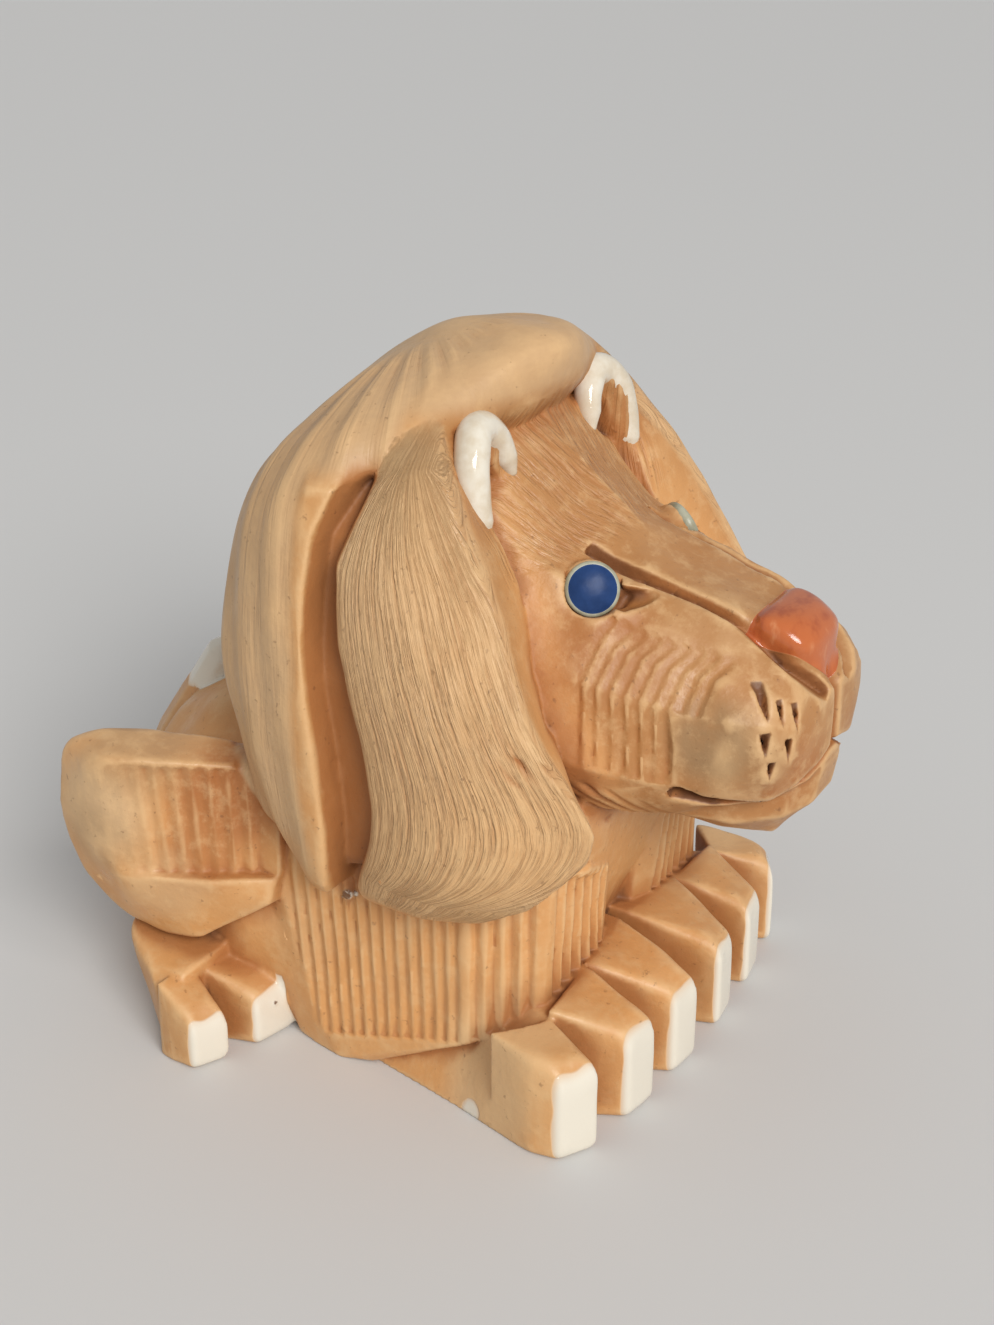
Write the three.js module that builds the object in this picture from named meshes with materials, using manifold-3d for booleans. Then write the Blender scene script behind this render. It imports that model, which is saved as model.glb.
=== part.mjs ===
// Crouching lion figurine, one solid of fired clay. Millimetres, +Z up.
// The lion faces -Y, its right side is -X, and it mirrors about X = 0.
// It stands on the plane Z = 0.
import * as THREE from "three";
import { ConvexGeometry } from "three/addons/geometries/ConvexGeometry.js";
import { mergeVertices } from "three/addons/utils/BufferGeometryUtils.js";
import Module from "manifold-3d";

const wasm = await Module();
wasm.setup();

// Driving sizes.
const MANE_TOP = 98.1;
const MANE_FOOT = 29;
const CROWN_FROM = 86;
const MANE_RINGS = 16;
const EAR_PEAK = [15.8, -11.4, 88];
const EAR_RIM_R = 1.75;
const EYE = [13.7, -26.2, 69.6];
const EYE_OUT = [0.744, -0.541, 0.39];
const EYE_R = 3.75;
const SOCKET_R = 4.5;
const SOCKET_DEEP = 1.3;
const FACE_GROOVE_W = 2.0;
const FACE_GROOVE_DEEP = 2.2;
const TOE_HIGH = 14;
const HIND_TOE_HIGH = 9.2;
const CHEEK_GROOVES = 9;
const CHEEK_PITCH = 1.74;
const CHEEK_DEEP = 0.5;
const FLUTE_WIDE = 1.7;
const FLUTE_DEEP = 0.55;
const TAIL_R = 5.2;
const TAIL_BACK = 51;
const MUZZLE_REACH = 53.6;
const HIND_OUT = 40.9;
const EYE_LINE = 30;
const HIP_LINE = 30;

const SIDES = [-1, 1];
const V = (x, y, z) => new THREE.Vector3(x, y, z);

// Turns a closed geometry into a solid, outward whichever way its faces were wound.
function solidOf(geometry) {
  const bare = geometry.index ? geometry.toNonIndexed() : geometry.clone();
  for (const name of Object.keys(bare.attributes)) {
    if (name !== "position") {
      bare.deleteAttribute(name);
    }
  }
  const merged = mergeVertices(bare, 1e-4);
  const at = merged.attributes.position.array;
  const tri = Array.from(merged.index.array);
  let volume = 0;
  const kept = [];
  for (let i = 0; i < tri.length; i += 3) {
    const [a, b, c] = [tri[i], tri[i + 1], tri[i + 2]];
    if (a === b || b === c || c === a) {
      continue;
    }
    kept.push(a, b, c);
    const [pa, pb, pc] = [a, b, c].map((k) => V(at[3 * k], at[3 * k + 1], at[3 * k + 2]));
    volume += pa.dot(pb.cross(pc));
  }
  if (volume < 0) {
    for (let i = 0; i < kept.length; i += 3) {
      [kept[i + 1], kept[i + 2]] = [kept[i + 2], kept[i + 1]];
    }
  }
  const mesh = new wasm.Mesh({
    numProp: 3,
    vertProperties: Float32Array.from(at),
    triVerts: Uint32Array.from(kept),
  });
  return new wasm.Manifold(mesh);
}

// Joins a list of solids.
function join(solids) {
  return solids.reduce((all, next) => all.add(next));
}

// A convex block through points given for the +X side.
function block(points, side = 1) {
  return solidOf(new ConvexGeometry(points.map((p) => V(side * p[0], p[1], p[2]))));
}

// The same convex block on both sides.
function blocks(points) {
  return join(SIDES.map((side) => block(points, side)));
}

// Skin through closed rings of equal count, with a flat cap at both ends.
function loft(rings) {
  const n = rings[0].length;
  const verts = rings.flat();
  const tri = [];
  for (let r = 0; r + 1 < rings.length; r += 1) {
    for (let k = 0; k < n; k += 1) {
      const a = r * n + k;
      const b = r * n + ((k + 1) % n);
      tri.push(a, b, a + n, b, b + n, a + n);
    }
  }
  for (const [base, turned] of [[0, true], [(rings.length - 1) * n, false]]) {
    for (const [a, b, c] of capOf(verts.slice(base, base + n))) {
      tri.push(base + a, base + (turned ? c : b), base + (turned ? b : c));
    }
  }
  const geometry = new THREE.BufferGeometry();
  geometry.setAttribute("position", new THREE.Float32BufferAttribute(verts.flatMap((p) => p.toArray()), 3));
  geometry.setIndex(tri);
  return solidOf(geometry);
}

// Triangles across one closed ring, wound the way the ring runs.
function capOf(ring) {
  const normal = V(0, 0, 0);
  ring.forEach((p, k) => normal.add(p.clone().cross(ring[(k + 1) % ring.length])));
  normal.normalize();
  const seed = Math.abs(normal.x) < 0.7 ? V(1, 0, 0) : V(0, 1, 0);
  const u = seed.clone().addScaledVector(normal, -seed.dot(normal)).normalize();
  const v = normal.clone().cross(u);
  const shape = ring.map((p) => new THREE.Vector2(p.dot(u), p.dot(v)));
  return THREE.ShapeUtils.triangulateShape(shape, []);
}

// Smooth value at t of a column of values given at rising stations.
function smoothAt(stations, values, t) {
  const last = stations.length - 1;
  let k = 0;
  while (k < last - 1 && t > stations[k + 1]) {
    k += 1;
  }
  const slope = (i) => {
    const a = Math.max(0, i - 1);
    const b = Math.min(last, i + 1);
    return (values[b] - values[a]) / (stations[b] - stations[a]);
  };
  const span = stations[k + 1] - stations[k];
  const u = Math.min(1, Math.max(0, (t - stations[k]) / span));
  const h1 = u * u * (3 - 2 * u);
  const h2 = u * (1 - u) * (1 - u);
  const h3 = u * u * (u - 1);
  return values[k] * (1 - h1) + values[k + 1] * h1 + span * (slope(k) * h2 + slope(k + 1) * h3);
}

// Row of a table at t; the first number of each row is its station.
function rowAt(table, t) {
  const stations = table.map((row) => row[0]);
  return table[0].slice(1).map((_, c) => smoothAt(stations, table.map((row) => row[c + 1]), t));
}

// Smooth curve through flat points, sampled count times, ends kept.
function curved(points, count) {
  const curve = new THREE.CatmullRomCurve3(points.map((p) => V(p[0], p[1], 0)), false, "centripetal");
  return Array.from({ length: count }, (_, k) => {
    const p = curve.getPoint(k / (count - 1));
    return [p.x, p.y];
  });
}

// Ball, egg or softened box: a sphere with its coordinates eased by a power.
function pebble(at, radii, power = 1, cols = 20, rows = 12) {
  const geometry = new THREE.SphereGeometry(1, cols, rows);
  const pos = geometry.attributes.position;
  const ease = (v) => Math.sign(v) * Math.abs(v) ** power;
  for (let k = 0; k < pos.count; k += 1) {
    const snap = (v) => (Math.abs(v) < 1e-9 ? 0 : v);
    pos.setXYZ(
      k,
      at[0] + radii[0] * ease(snap(pos.getX(k))),
      at[1] + radii[1] * ease(snap(pos.getY(k))),
      at[2] + radii[2] * ease(snap(pos.getZ(k))),
    );
  }
  return solidOf(geometry);
}

// Tube along a smooth path with its own radius at each point, closed by round ends.
function limb(path, radii, around, along) {
  const curve = new THREE.CatmullRomCurve3(path.map((p) => V(...p)), false, "centripetal");
  const rings = [];
  const stations = radii.map((_, k) => k / (radii.length - 1));
  const aside = V(1, 0, 0);
  for (let k = 0; k <= along; k += 1) {
    const t = k / along;
    const mid = curve.getPoint(t);
    const ahead = curve.getTangent(t);
    const over = ahead.clone().cross(aside).normalize();
    const out = over.clone().cross(ahead).normalize();
    const cap = Math.sqrt(Math.max(0.02, 1 - Math.max(0, (t - 0.86) / 0.145) ** 2));
    const r = smoothAt(stations, radii, t) * cap;
    rings.push(Array.from({ length: around }, (_, j) => {
      const a = (2 * Math.PI * j) / around;
      return mid.clone().addScaledVector(out, r * Math.cos(a)).addScaledVector(over, r * Math.sin(a));
    }));
  }
  return loft(rings);
}

// V-shaped cutter along a path of points lying on a surface, with the outward direction there.
function gouge(path, outs, wide, deep) {
  const rings = path.map((p, k) => {
    const here = V(...p);
    const prev = V(...path[Math.max(0, k - 1)]);
    const next = V(...path[Math.min(path.length - 1, k + 1)]);
    const ahead = next.sub(prev).normalize();
    const out = V(...outs[k]).normalize();
    const across = ahead.clone().cross(out).normalize();
    const w = Array.isArray(wide) ? wide[k] : wide;
    const d = Array.isArray(deep) ? deep[k] : deep;
    return [
      here.clone().addScaledVector(out, -d),
      here.clone().addScaledVector(out, 2).addScaledVector(across, w * (0.5 + 1 / d)),
      here.clone().addScaledVector(out, 2).addScaledVector(across, -w * (0.5 + 1 / d)),
    ];
  });
  return loft(rings);
}

// Row of straight V flutes between two edges, each edge given by its two ends.
function flutes(from, to, count, out, wide, deep) {
  const cuts = [];
  for (let k = 0; k < count; k += 1) {
    const t = (k + 0.5) / count;
    const a = V(...from[0]).lerp(V(...from[1]), t);
    const b = V(...to[0]).lerp(V(...to[1]), t);
    cuts.push(gouge([a.toArray(), b.toArray()], [out, out], wide, deep));
  }
  return join(cuts);
}

const mirrored = (p, side) => [side * p[0], p[1], p[2]];

// The muzzle ahead of the eyes is as long as MUZZLE_REACH says.
const ahead = (y) => (y > -EYE_LINE ? y : -EYE_LINE + ((y + EYE_LINE) * (MUZZLE_REACH - EYE_LINE)) / 23.6);
const faceward = (points) => points.map(([x, y, z]) => [x, ahead(y), z]);

// Hips and hind feet reach as far out as HIND_OUT says.
const outward = (x) => (x < HIP_LINE ? x : HIP_LINE + ((x - HIP_LINE) * (HIND_OUT - HIP_LINE)) / 10.9);
const hipward = (points) => points.map(([x, ...rest]) => [outward(x), ...rest]);

// Mane hood, half outline by height.
// front y; two points of the fringe; front lip; two side points; two back points; back y.
const HOOD = [
  [29, -2, 4, -2, 12, -1, 33, 1.2, 33.2, 2.2, 32.4, 3.4, 30, 4.6, 17, 5, 6],
  [31, -4, 4, -4, 12, -2, 35, 0.4, 35.2, 1.8, 34, 4.6, 30.6, 7, 17, 8, 9],
  [36, -5, 4, -5, 12, -3, 36.4, -0.5, 36.6, 1.4, 34.8, 6.4, 29.8, 11.8, 17, 15, 16],
  [42, -5, 4, -5, 12, -3, 37.2, -0.9, 37.6, 1.8, 35.6, 8, 29, 15.2, 17, 20, 21],
  [48, -5, 4, -5, 12, -3, 37.8, -0.6, 38.2, 2.4, 36.2, 9, 28.6, 17.6, 16.4, 23.4, 25.4],
  [54, -5, 4, -5, 12, -3, 38, -0.1, 38.5, 3, 36.6, 10, 28.6, 19.4, 16.2, 26, 28.4],
  [60, -5, 4, -5, 12, -3, 38, 0.5, 38.5, 3.6, 36.6, 11, 28.6, 20.6, 16, 27.6, 30.2],
  [68, -6, 4, -6, 12, -4, 37.6, 0.8, 38, 4, 36, 10.2, 28.2, 18.2, 16, 25.2, 28],
  [77, -6, 4, -6, 13, -5, 36.6, 0, 37.2, 3.4, 35.6, 9.2, 28.6, 16.4, 16, 23.4, 25.8],
  [83, -9.4, 4, -9.4, 12, -7, 35, -1.4, 35.6, 1.8, 34.6, 7.2, 27.8, 13.4, 15.6, 19.4, 21.8],
  [87.2, -12.8, 5, -12.8, 11.5, -11.8, 30.8, -4.4, 32.2, -0.8, 31.6, 4.4, 26.4, 9.8, 14.8, 15.2, 17.4],
  [88.6, -13.6, 6, -13.5, 11.8, -12.7, 28.6, -5.3, 30.4, -1.8, 29.8, 3.2, 24.8, 8.1, 14, 13.3, 15.5],
  [90.2, -14.6, 6.4, -14.2, 12.4, -12.8, 25, -6.7, 27.4, -3.2, 27.2, 1.7, 22.8, 6.5, 13, 11.3, 13.4],
  [92, -15.4, 6.6, -14.6, 12.4, -12.6, 21.2, -7.8, 23.4, -4.6, 23.2, 0, 19.6, 4.8, 11.2, 9, 11],
  [94, -15.9, 6, -15, 11, -12.8, 16.2, -9.2, 17.8, -5.8, 17.6, -1.4, 14.8, 2.8, 8.4, 6.2, 7.6],
  [95.8, -16, 4.4, -15.4, 8.2, -13.6, 11.2, -10.4, 12.4, -6.8, 12.2, -3, 10.2, 0.6, 5.6, 3.4, 4.4],
  [97.3, -15.4, 2.4, -14.9, 4.4, -13.6, 6, -11.2, 6.6, -7.6, 6.4, -4.4, 5.2, -1.8, 2.8, 0, 0.6],
  [98.1, -13, 1.6, -12.6, 2.4, -11.4, 2.8, -10, 3, -8.2, 3, -6.4, 2.4, -4.8, 1.4, -3.8, -3.4],
];

function hoodRing(z) {
  const c = rowAt(HOOD, z);
  const pt = (k) => [Math.max(0.5, c[k]), c[k + 1]];
  const front = [0, c[0]];
  const back = [0, c[13]];
  const lip = pt(5);
  const lipFront = [Math.max(0.8, lip[0] - 1.9), lip[1] - 0.2];
  const edged = [pt(1), pt(3), lipFront, ...curved([lip, pt(7), pt(9), pt(11), back], 10).slice(0, -1)];
  const round = curved([front, pt(1), pt(3), lip, pt(7), pt(9), pt(11), back], edged.length + 2).slice(1, -1);
  const share = Math.min(1, Math.max(0, (z - CROWN_FROM) / 4));
  const half = edged.map(([x, y], k) => [x + (round[k][0] - x) * share, y + (round[k][1] - y) * share]);
  return [
    V(0, front[1], z),
    ...half.map(([x, y]) => V(x, y, z)),
    V(0, back[1], z),
    ...half.slice().reverse().map(([x, y]) => V(-x, y, z)),
  ];
}

function hood(low, high) {
  const rings = [];
  for (let k = 0; k <= MANE_RINGS; k += 1) {
    const u = k / MANE_RINGS;
    rings.push(hoodRing(low + (high - low) * (u - 0.1 * Math.sin(2 * Math.PI * u) + 0.1 * u * (1 - u))));
  }
  return loft(rings);
}

// Front lock of the mane, half outline by height.
// front edge; outer face, three points; rear edge beside the crescent groove; inner rear; face contact.
const LOCK = [
  [29.4, 33, -14, 33.4, -12, 33.6, -9, 33.2, -6.4, 32.4, -3.8, 27, -5, 27, -13],
  [30.6, 34.2, -18.6, 35.2, -15, 35.6, -11, 35, -7, 33.6, -3.8, 25, -4, 25, -17],
  [33, 33.4, -26.4, 36.4, -19.8, 37.2, -14, 36.6, -9, 34.6, -4.6, 22, -4, 22, -20],
  [36.6, 30.8, -31, 36.2, -23.6, 38, -16.4, 37.6, -10.6, 35.6, -6.2, 20, -4, 20, -23],
  [41, 28.6, -34.6, 35.2, -26.4, 38.2, -18.2, 38, -12, 36.4, -7.6, 18, -4, 18, -24],
  [45, 28.8, -35.2, 34.8, -27.2, 38.2, -18.6, 38, -12.4, 36.6, -8, 18, -4, 18, -24],
  [50, 31, -33.4, 35.2, -26.4, 38, -18, 37.9, -12, 36.8, -7.4, 18, -4, 18.5, -23],
  [56, 33.2, -29.8, 36, -24, 37.9, -16.4, 37.9, -11, 36.9, -6.4, 18, -3, 19, -22],
  [62, 32.4, -26.3, 35.6, -21, 37.6, -14.6, 37.8, -9.4, 36.9, -4.6, 18, -3, 19.5, -21],
  [70.4, 29.9, -22.2, 33.6, -17.6, 36.2, -12.4, 37, -8, 36.6, -3.8, 17, -2, 19, -19],
  [76, 28.8, -18.6, 32.2, -14.8, 34.8, -10.6, 35.8, -7.2, 35.8, -3.6, 16, -2, 19, -16.5],
  [81, 27.6, -14.8, 30.2, -12.4, 32, -9.8, 32.8, -7.4, 32.6, -4.8, 15, -2, 19, -13.5],
  [86, 24.8, -11.6, 26.8, -10.6, 28.2, -9, 28.8, -7.4, 28.6, -5.4, 14, -2, 18.5, -10.5],
  [88.8, 22.4, -10, 23.6, -9.4, 24.6, -8.6, 24.8, -7.6, 24.4, -6.4, 14, -2, 17.8, -9.2],
  [90.8, 19.8, -9.2, 20.2, -9, 20.6, -8.6, 20.8, -8.2, 20.6, -7.8, 16, -5, 17.2, -8.6],
];

function lock(side) {
  const rings = [];
  const low = LOCK[0][0];
  const high = LOCK[LOCK.length - 1][0];
  for (let k = 0; k <= MANE_RINGS; k += 1) {
    const u = k / MANE_RINGS;
    const z = low + (high - low) * (u - 0.07 * Math.sin(2 * Math.PI * u));
    const c = rowAt(LOCK, z);
    const outer = curved([[c[0], c[1]], [c[2], c[3]], [c[4], c[5]], [c[6], c[7]], [c[8], c[9]]], 8);
    const half = [...outer, [c[8] - 1.6, c[9] + 0.9], [c[10], c[11]], [c[12], c[13]]];
    rings.push(half.map(([x, y]) => V(side * x, y, z)));
  }
  return loft(rings);
}

function mane() {
  const core = blocks([
    [2, 6, 31], [30, 4, 31], [31.5, 4, 34], [32, -8, 35], [26, -16, 36], [10, -16, 36],
    [34, 4, 60], [33.8, -8, 60], [27, -14, 60], [10, -14, 60],
    [32.4, 2, 78], [32, -5, 78], [10, -8, 80], [25, -5.4, 87.4], [25, 2, 88], [10, -4, 88], [10, 6, 88],
    [2, 6, 88],
  ]);
  return join([hood(MANE_FOOT, MANE_TOP), core, lock(-1), lock(1)]);
}

// Head, half sections along the body: y; top; bridge edge; brow; cheek, three points; jaw; underside.
const HEAD = [
  [-53.6, 57.2, 3, 57.8, 4.6, 57.8, 7.6, 56.4, 8.4, 53, 7, 49.6, 3.6, 48.2, 48],
  [-52.6, 59.6, 3.8, 60, 6.8, 60, 11, 57.2, 12, 52.6, 9.8, 47.8, 4.8, 46.2, 46],
  [-50, 62.4, 5, 62.4, 8.8, 62, 14, 58.2, 15.2, 52.4, 12.8, 46.4, 6.2, 44.6, 44.4],
  [-46, 65.4, 6.6, 65.2, 10, 63.8, 16, 58.8, 17.2, 52.2, 14.8, 45.6, 7.4, 43.2, 42.8],
  [-42, 67.4, 7.4, 67.3, 10.8, 65.2, 16.4, 59, 17.8, 52, 15.8, 45.2, 9, 42, 41.2],
  [-38, 68.4, 7.9, 68.4, 12, 66, 17.4, 59.8, 19.2, 52, 17.4, 44.6, 10.6, 40.4, 39.4],
  [-34, 69.9, 8.4, 69.6, 13, 67, 18.2, 60.6, 20.2, 52.6, 18.6, 45, 12, 39.6, 38.6],
  [-30, 71.6, 8.8, 70.8, 13.6, 68.2, 19, 61.6, 21.4, 53.4, 20, 45.4, 13, 39.6, 38.2],
  [-26, 74.3, 9, 71.4, 14.2, 69, 19.6, 62.4, 22.2, 54.4, 21, 46.4, 14, 40.4, 38.2],
  [-22, 77.4, 9, 73.6, 15.4, 71, 20, 64, 22.6, 56, 21.6, 48, 14, 42, 39],
  [-18, 80.9, 9, 77.4, 16.6, 73.6, 20.4, 67, 22.4, 58.6, 21.4, 50, 14, 44, 41],
  [-14, 85, 9, 82.6, 16.8, 78, 20.4, 71, 21.8, 62, 20.6, 53, 14, 46, 43],
  [-10, 88.6, 9, 86.4, 15.6, 82, 19, 74, 20, 64, 19, 55, 13, 48, 45],
  [-4, 90, 8, 88, 13, 84, 16, 76, 17, 66, 16, 57, 12, 50, 47],
];

// Half outline of the head at one station, from the crown round to the throat.
function headOutline(c) {
  const side = [[c[1], c[2]], [c[3], c[4]], [c[5], c[6]], [c[7], c[8]], [c[9], c[10]], [c[11], c[12]]];
  return curved([[0, c[0]], ...side.slice(0, 2)], 4).slice(0, -1)
    .concat(curved([...side.slice(1), [0, c[13]]], 9));
}

function headBlock() {
  const rings = HEAD.map((row) => {
    const half = headOutline(row.slice(1));
    return [
      ...half.map(([x, z]) => V(x, ahead(row[0]), z)),
      ...half.slice(1, -1).reverse().map(([x, z]) => V(-x, ahead(row[0]), z)),
    ];
  });
  return loft(rings);
}

// Comb grooves down the cheek, from under the face groove, bending at half height; the first two stop there.
function cheekComb(side) {
  const cuts = [];
  for (let k = 0; k < CHEEK_GROOVES; k += 1) {
    const top = -44.3 + CHEEK_PITCH * k;
    const marks = k < 2 ? [[3, 0], [4, 1.6], [5, 2.3]] : [[3, 0], [4, 1.6], [5, 2.5], [7, 1.8]];
    const path = [];
    const outs = [];
    for (const [at, back] of marks) {
      const half = headOutline(rowAt(HEAD, top + back));
      const [x, z] = at === 3 ? [half[3][0] * 0.6 + half[4][0] * 0.4, half[3][1] * 0.6 + half[4][1] * 0.4] : half[at];
      const [dx, dz] = [half[at + 1][0] - half[at - 1][0], half[at + 1][1] - half[at - 1][1]];
      path.push(mirrored([x, ahead(top + back), z], side));
      outs.push(mirrored([-dz, 0, dx], side));
    }
    cuts.push(gouge(path, outs, CHEEK_PITCH * 0.9, CHEEK_DEEP));
  }
  return cuts;
}

// Whisker pricks on one side of the muzzle: place, width and height.
const WHISKERS = [
  [13.4, -49.2, 59.1, 2.1, 3.9], [12.4, -51, 57.8, 1.2, 3], [11, -52.6, 56.9, 1.2, 3.4],
  [14.8, -50.2, 54.3, 1.9, 3.2], [12, -51.8, 53.3, 1.3, 2.7], [14, -50.7, 50.8, 1.5, 2.4],
];
const WHISKER_DEEP = 1.3;

// One prick: a three-cornered pit, wide above and narrow below.
function prick([x, y, z, wide, high], side) {
  const at = V(x, ahead(y), z);
  const out = V(0.62, -0.78, 0.08);
  const across = V(0.78, 0.62, 0);
  const spot = (rise, aside, lift) => at.clone().add(V(0, 0, rise * high)).addScaledVector(across, aside * wide)
    .addScaledVector(out, lift).toArray();
  return block([
    spot(0.55, -0.6, 1), spot(0.55, 0.6, 1), spot(-0.6, 0, 1), spot(0.2, 0, -WHISKER_DEEP), spot(-0.05, 0, -WHISKER_DEEP),
  ], side);
}

function nose() {
  return blocks(faceward([
    [-1, -44.4, 67.4], [6.4, -44.4, 67.4], [6.9, -45, 65.6], [-1, -47.6, 67], [5.9, -47.4, 67],
    [6.8, -47.4, 65.8], [6.4, -50.2, 64.6], [5.4, -51.8, 62.8], [-1, -49.6, 67], [3.4, -49.6, 66.9],
    [-1, -52.3, 64.6], [2.6, -52.3, 64.6], [4.4, -51.8, 64.6], [-1, -52.4, 61], [2, -52.2, 60.2],
    [-1, -51, 58.6], [-1, -46, 58.8], [1.6, -46, 58.8], [4.8, -46, 61.4], [6.6, -49, 63.2],
  ]));
}

function chin() {
  return blocks(faceward([
    [-1, -38, 45.4], [11.6, -38, 45.4], [12, -38, 41], [11, -44, 45], [10.8, -44.4, 40.6],
    [7.4, -51, 46.2], [7, -50.4, 41.4], [-1, -53.6, 47.4], [3, -53.6, 47.4], [-1, -52.6, 42.4], [3.2, -52.6, 42.4],
    [-1, -48, 37.4], [4.6, -48, 37.4], [-1, -42, 38.2], [8, -42, 38.2], [-1, -34, 39], [8, -34, 39],
    [-1, -34, 46], [8, -34, 46],
  ]));
}

function ear(side) {
  const [px, py, pz] = EAR_PEAK;
  const shell = block([
    [px, py + 0.6, pz - 0.4], [px - 2.6, py + 0.4, pz - 1.2], [px + 2.4, py + 0.2, pz - 1.8],
    [20.6, -13.6, 76], [21, -8, 76], [8.6, -12.2, 81], [9, -7, 82], [px, py + 4, pz - 2],
    [px - 3, py + 4, pz - 3], [px + 3, py + 4, pz - 4], [19.6, -13.6, 83.6], [10.4, -12, 85.6],
  ], side);
  const rimPath = [[19.6, -13.9, 78], [19.6, -13.4, 82], [18.6, -12.6, 85.8], EAR_PEAK,
    [12.9, -11.8, 86.6], [11.6, -12.6, 83.6]];
  const rim = limb(rimPath.map((p) => mirrored(p, side)),
    [EAR_RIM_R * 0.9, EAR_RIM_R, EAR_RIM_R * 1.1, EAR_RIM_R * 1.15, EAR_RIM_R, EAR_RIM_R * 0.8], 8, 10);
  const hollow = block([
    [15.8, -17, 85.8], [15.8, -10.4, 85.2], [12.4, -17.5, 80], [18.4, -18.5, 77], [12.9, -10.8, 81.4],
    [17.9, -10.8, 78.6],
  ], side);
  return { shell: shell.add(rim), hollow };
}

function eyeSolids(side) {
  const out = V(side * EYE_OUT[0], EYE_OUT[1], EYE_OUT[2]).normalize();
  const turn = new THREE.Quaternion().setFromUnitVectors(V(0, 1, 0), out);
  const at = V(...mirrored(EYE, side));
  const place = (geometry, along) => {
    geometry.applyQuaternion(turn);
    geometry.translate(...at.clone().addScaledVector(out, along).toArray());
    return solidOf(geometry);
  };
  const socket = place(new THREE.CylinderGeometry(SOCKET_R, SOCKET_R * 0.94, 4 + SOCKET_DEEP, 16),
    2 - SOCKET_DEEP / 2);
  const dome = new THREE.SphereGeometry(1, 16, 6);
  dome.scale(EYE_R, 1.1, EYE_R);
  const ball = place(dome, -SOCKET_DEEP + 0.35);
  const seat = place(new THREE.CylinderGeometry(EYE_R, EYE_R, 2, 16), -SOCKET_DEEP - 0.6);
  return { socket, ball: ball.add(seat) };
}

function head() {
  const ears = SIDES.map(ear);
  let solid = join([headBlock(), ...ears.map((e) => e.shell)]);
  const cuts = ears.map((e) => e.hollow);
  for (const side of SIDES) {
    const line = faceward([[8.6, -22.8, 72.4], [8.4, -26.6, 71.2], [8, -32, 70], [7.4, -38, 68.4], [7.2, -44, 66.2],
      [6.6, -50, 61.4], [3.2, -53.6, 57.4]]);
    const outs = [[0.4, -0.4, 1], [0.45, -0.25, 1], [0.5, -0.2, 1], [0.55, -0.2, 1], [0.6, -0.5, 0.9],
      [0.55, -0.9, 0.5], [0.3, -1, 0.2]];
    cuts.push(gouge(line.map((p) => mirrored(p, side)), outs.map((p) => mirrored(p, side)),
      [1.6, 2, 2, 2, 2.2, 2, 2].map((w) => (w * FACE_GROOVE_W) / 2),
      [1.4, 2, 2.2, 2.2, 2.2, 2, 1.6].map((d) => (d * FACE_GROOVE_DEEP) / 2.2)));
    const mouth = faceward([[15.6, -38.6, 47.6], [14.8, -42, 46], [12, -46.4, 45.2], [7, -51.6, 47],
      [1.4, -54, 49.4]]);
    const mouthOuts = [[1, -0.2, -0.3], [0.9, -0.4, -0.3], [0.7, -0.8, -0.2], [0.4, -1, 0], [0, -1, 0]];
    cuts.push(gouge(mouth.map((p) => mirrored(p, side)), mouthOuts.map((p) => mirrored(p, side)), 1, 2));
    cuts.push(...WHISKERS.map((row) => prick(row, side)));
    cuts.push(...cheekComb(side));
    const eye = eyeSolids(side);
    cuts.push(eye.socket);
    const corner = block([
      [11.6, -29.6, 71.4], [9.6, -34.6, 69.6], [12.6, -30.4, 66.6], [13.4, -33, 71.6], [10, -29, 68],
      [12.6, -28, 67], [15.6, -32, 67.8], [11.4, -29, 66.4],
    ], side);
    cuts.push(corner);
  }
  solid = solid.subtract(join(cuts));
  const philtrum = gouge(faceward([[0, -55, 60], [0, -54.4, 55], [0, -53.6, 49]]),
    [[0, -1, 0], [0, -1, 0], [0, -1, 0]], 3, 3.4);
  solid = solid.subtract(philtrum);
  return join([solid, nose(), chin(), ...SIDES.map((side) => eyeSolids(side).ball)]);
}

// Front toes in plan: outer edge, front corners, inner edge, inner root, outer root.
const TOES = [
  [[34.6, -29.4], [34.1, -33.4], [28.7, -36.3], [27.9, -33], [25.4, -27.2], [32, -22]],
  [[22.4, -33.6], [21.7, -37], [15.6, -37.9], [15.2, -34.4], [13.7, -26.2], [25.6, -26.8]],
  [[10.4, -35], [9.6, -38], [3.7, -38.6], [3.4, -35], [1, -25.4], [13.8, -26.2]],
];

// One toe: a block over its plan, with softened front edges and a top that rises to the root.
function toe(plan, high, rise, side) {
  const [mx, my] = [(plan[1][0] + plan[2][0]) / 2, (plan[1][1] + plan[2][1]) / 2];
  const points = [];
  for (const [k, [x, y]] of plan.entries()) {
    const front = k === 1 || k === 2;
    const tip = front || k === 0 || k === 3;
    const to = (share) => [x + (mx - x) * share, y + (my - y) * (front ? 0 : share * 0.4)];
    if (!tip) {
      points.push([x, y, 0], [x, y, high + rise]);
      continue;
    }
    points.push([...to(0), 0.9], [to(0.14)[0], to(0)[1] + (front ? 0.6 : 0), 0]);
    points.push([...to(0), high - 3.4]);
    points.push([to(0.1)[0], to(0)[1] + (front ? 0.7 : 0), high - 1.4]);
    points.push([to(0.34)[0], to(0)[1] + (front ? 2.6 : 0.6), high]);
  }
  return block(points, side);
}

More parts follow.
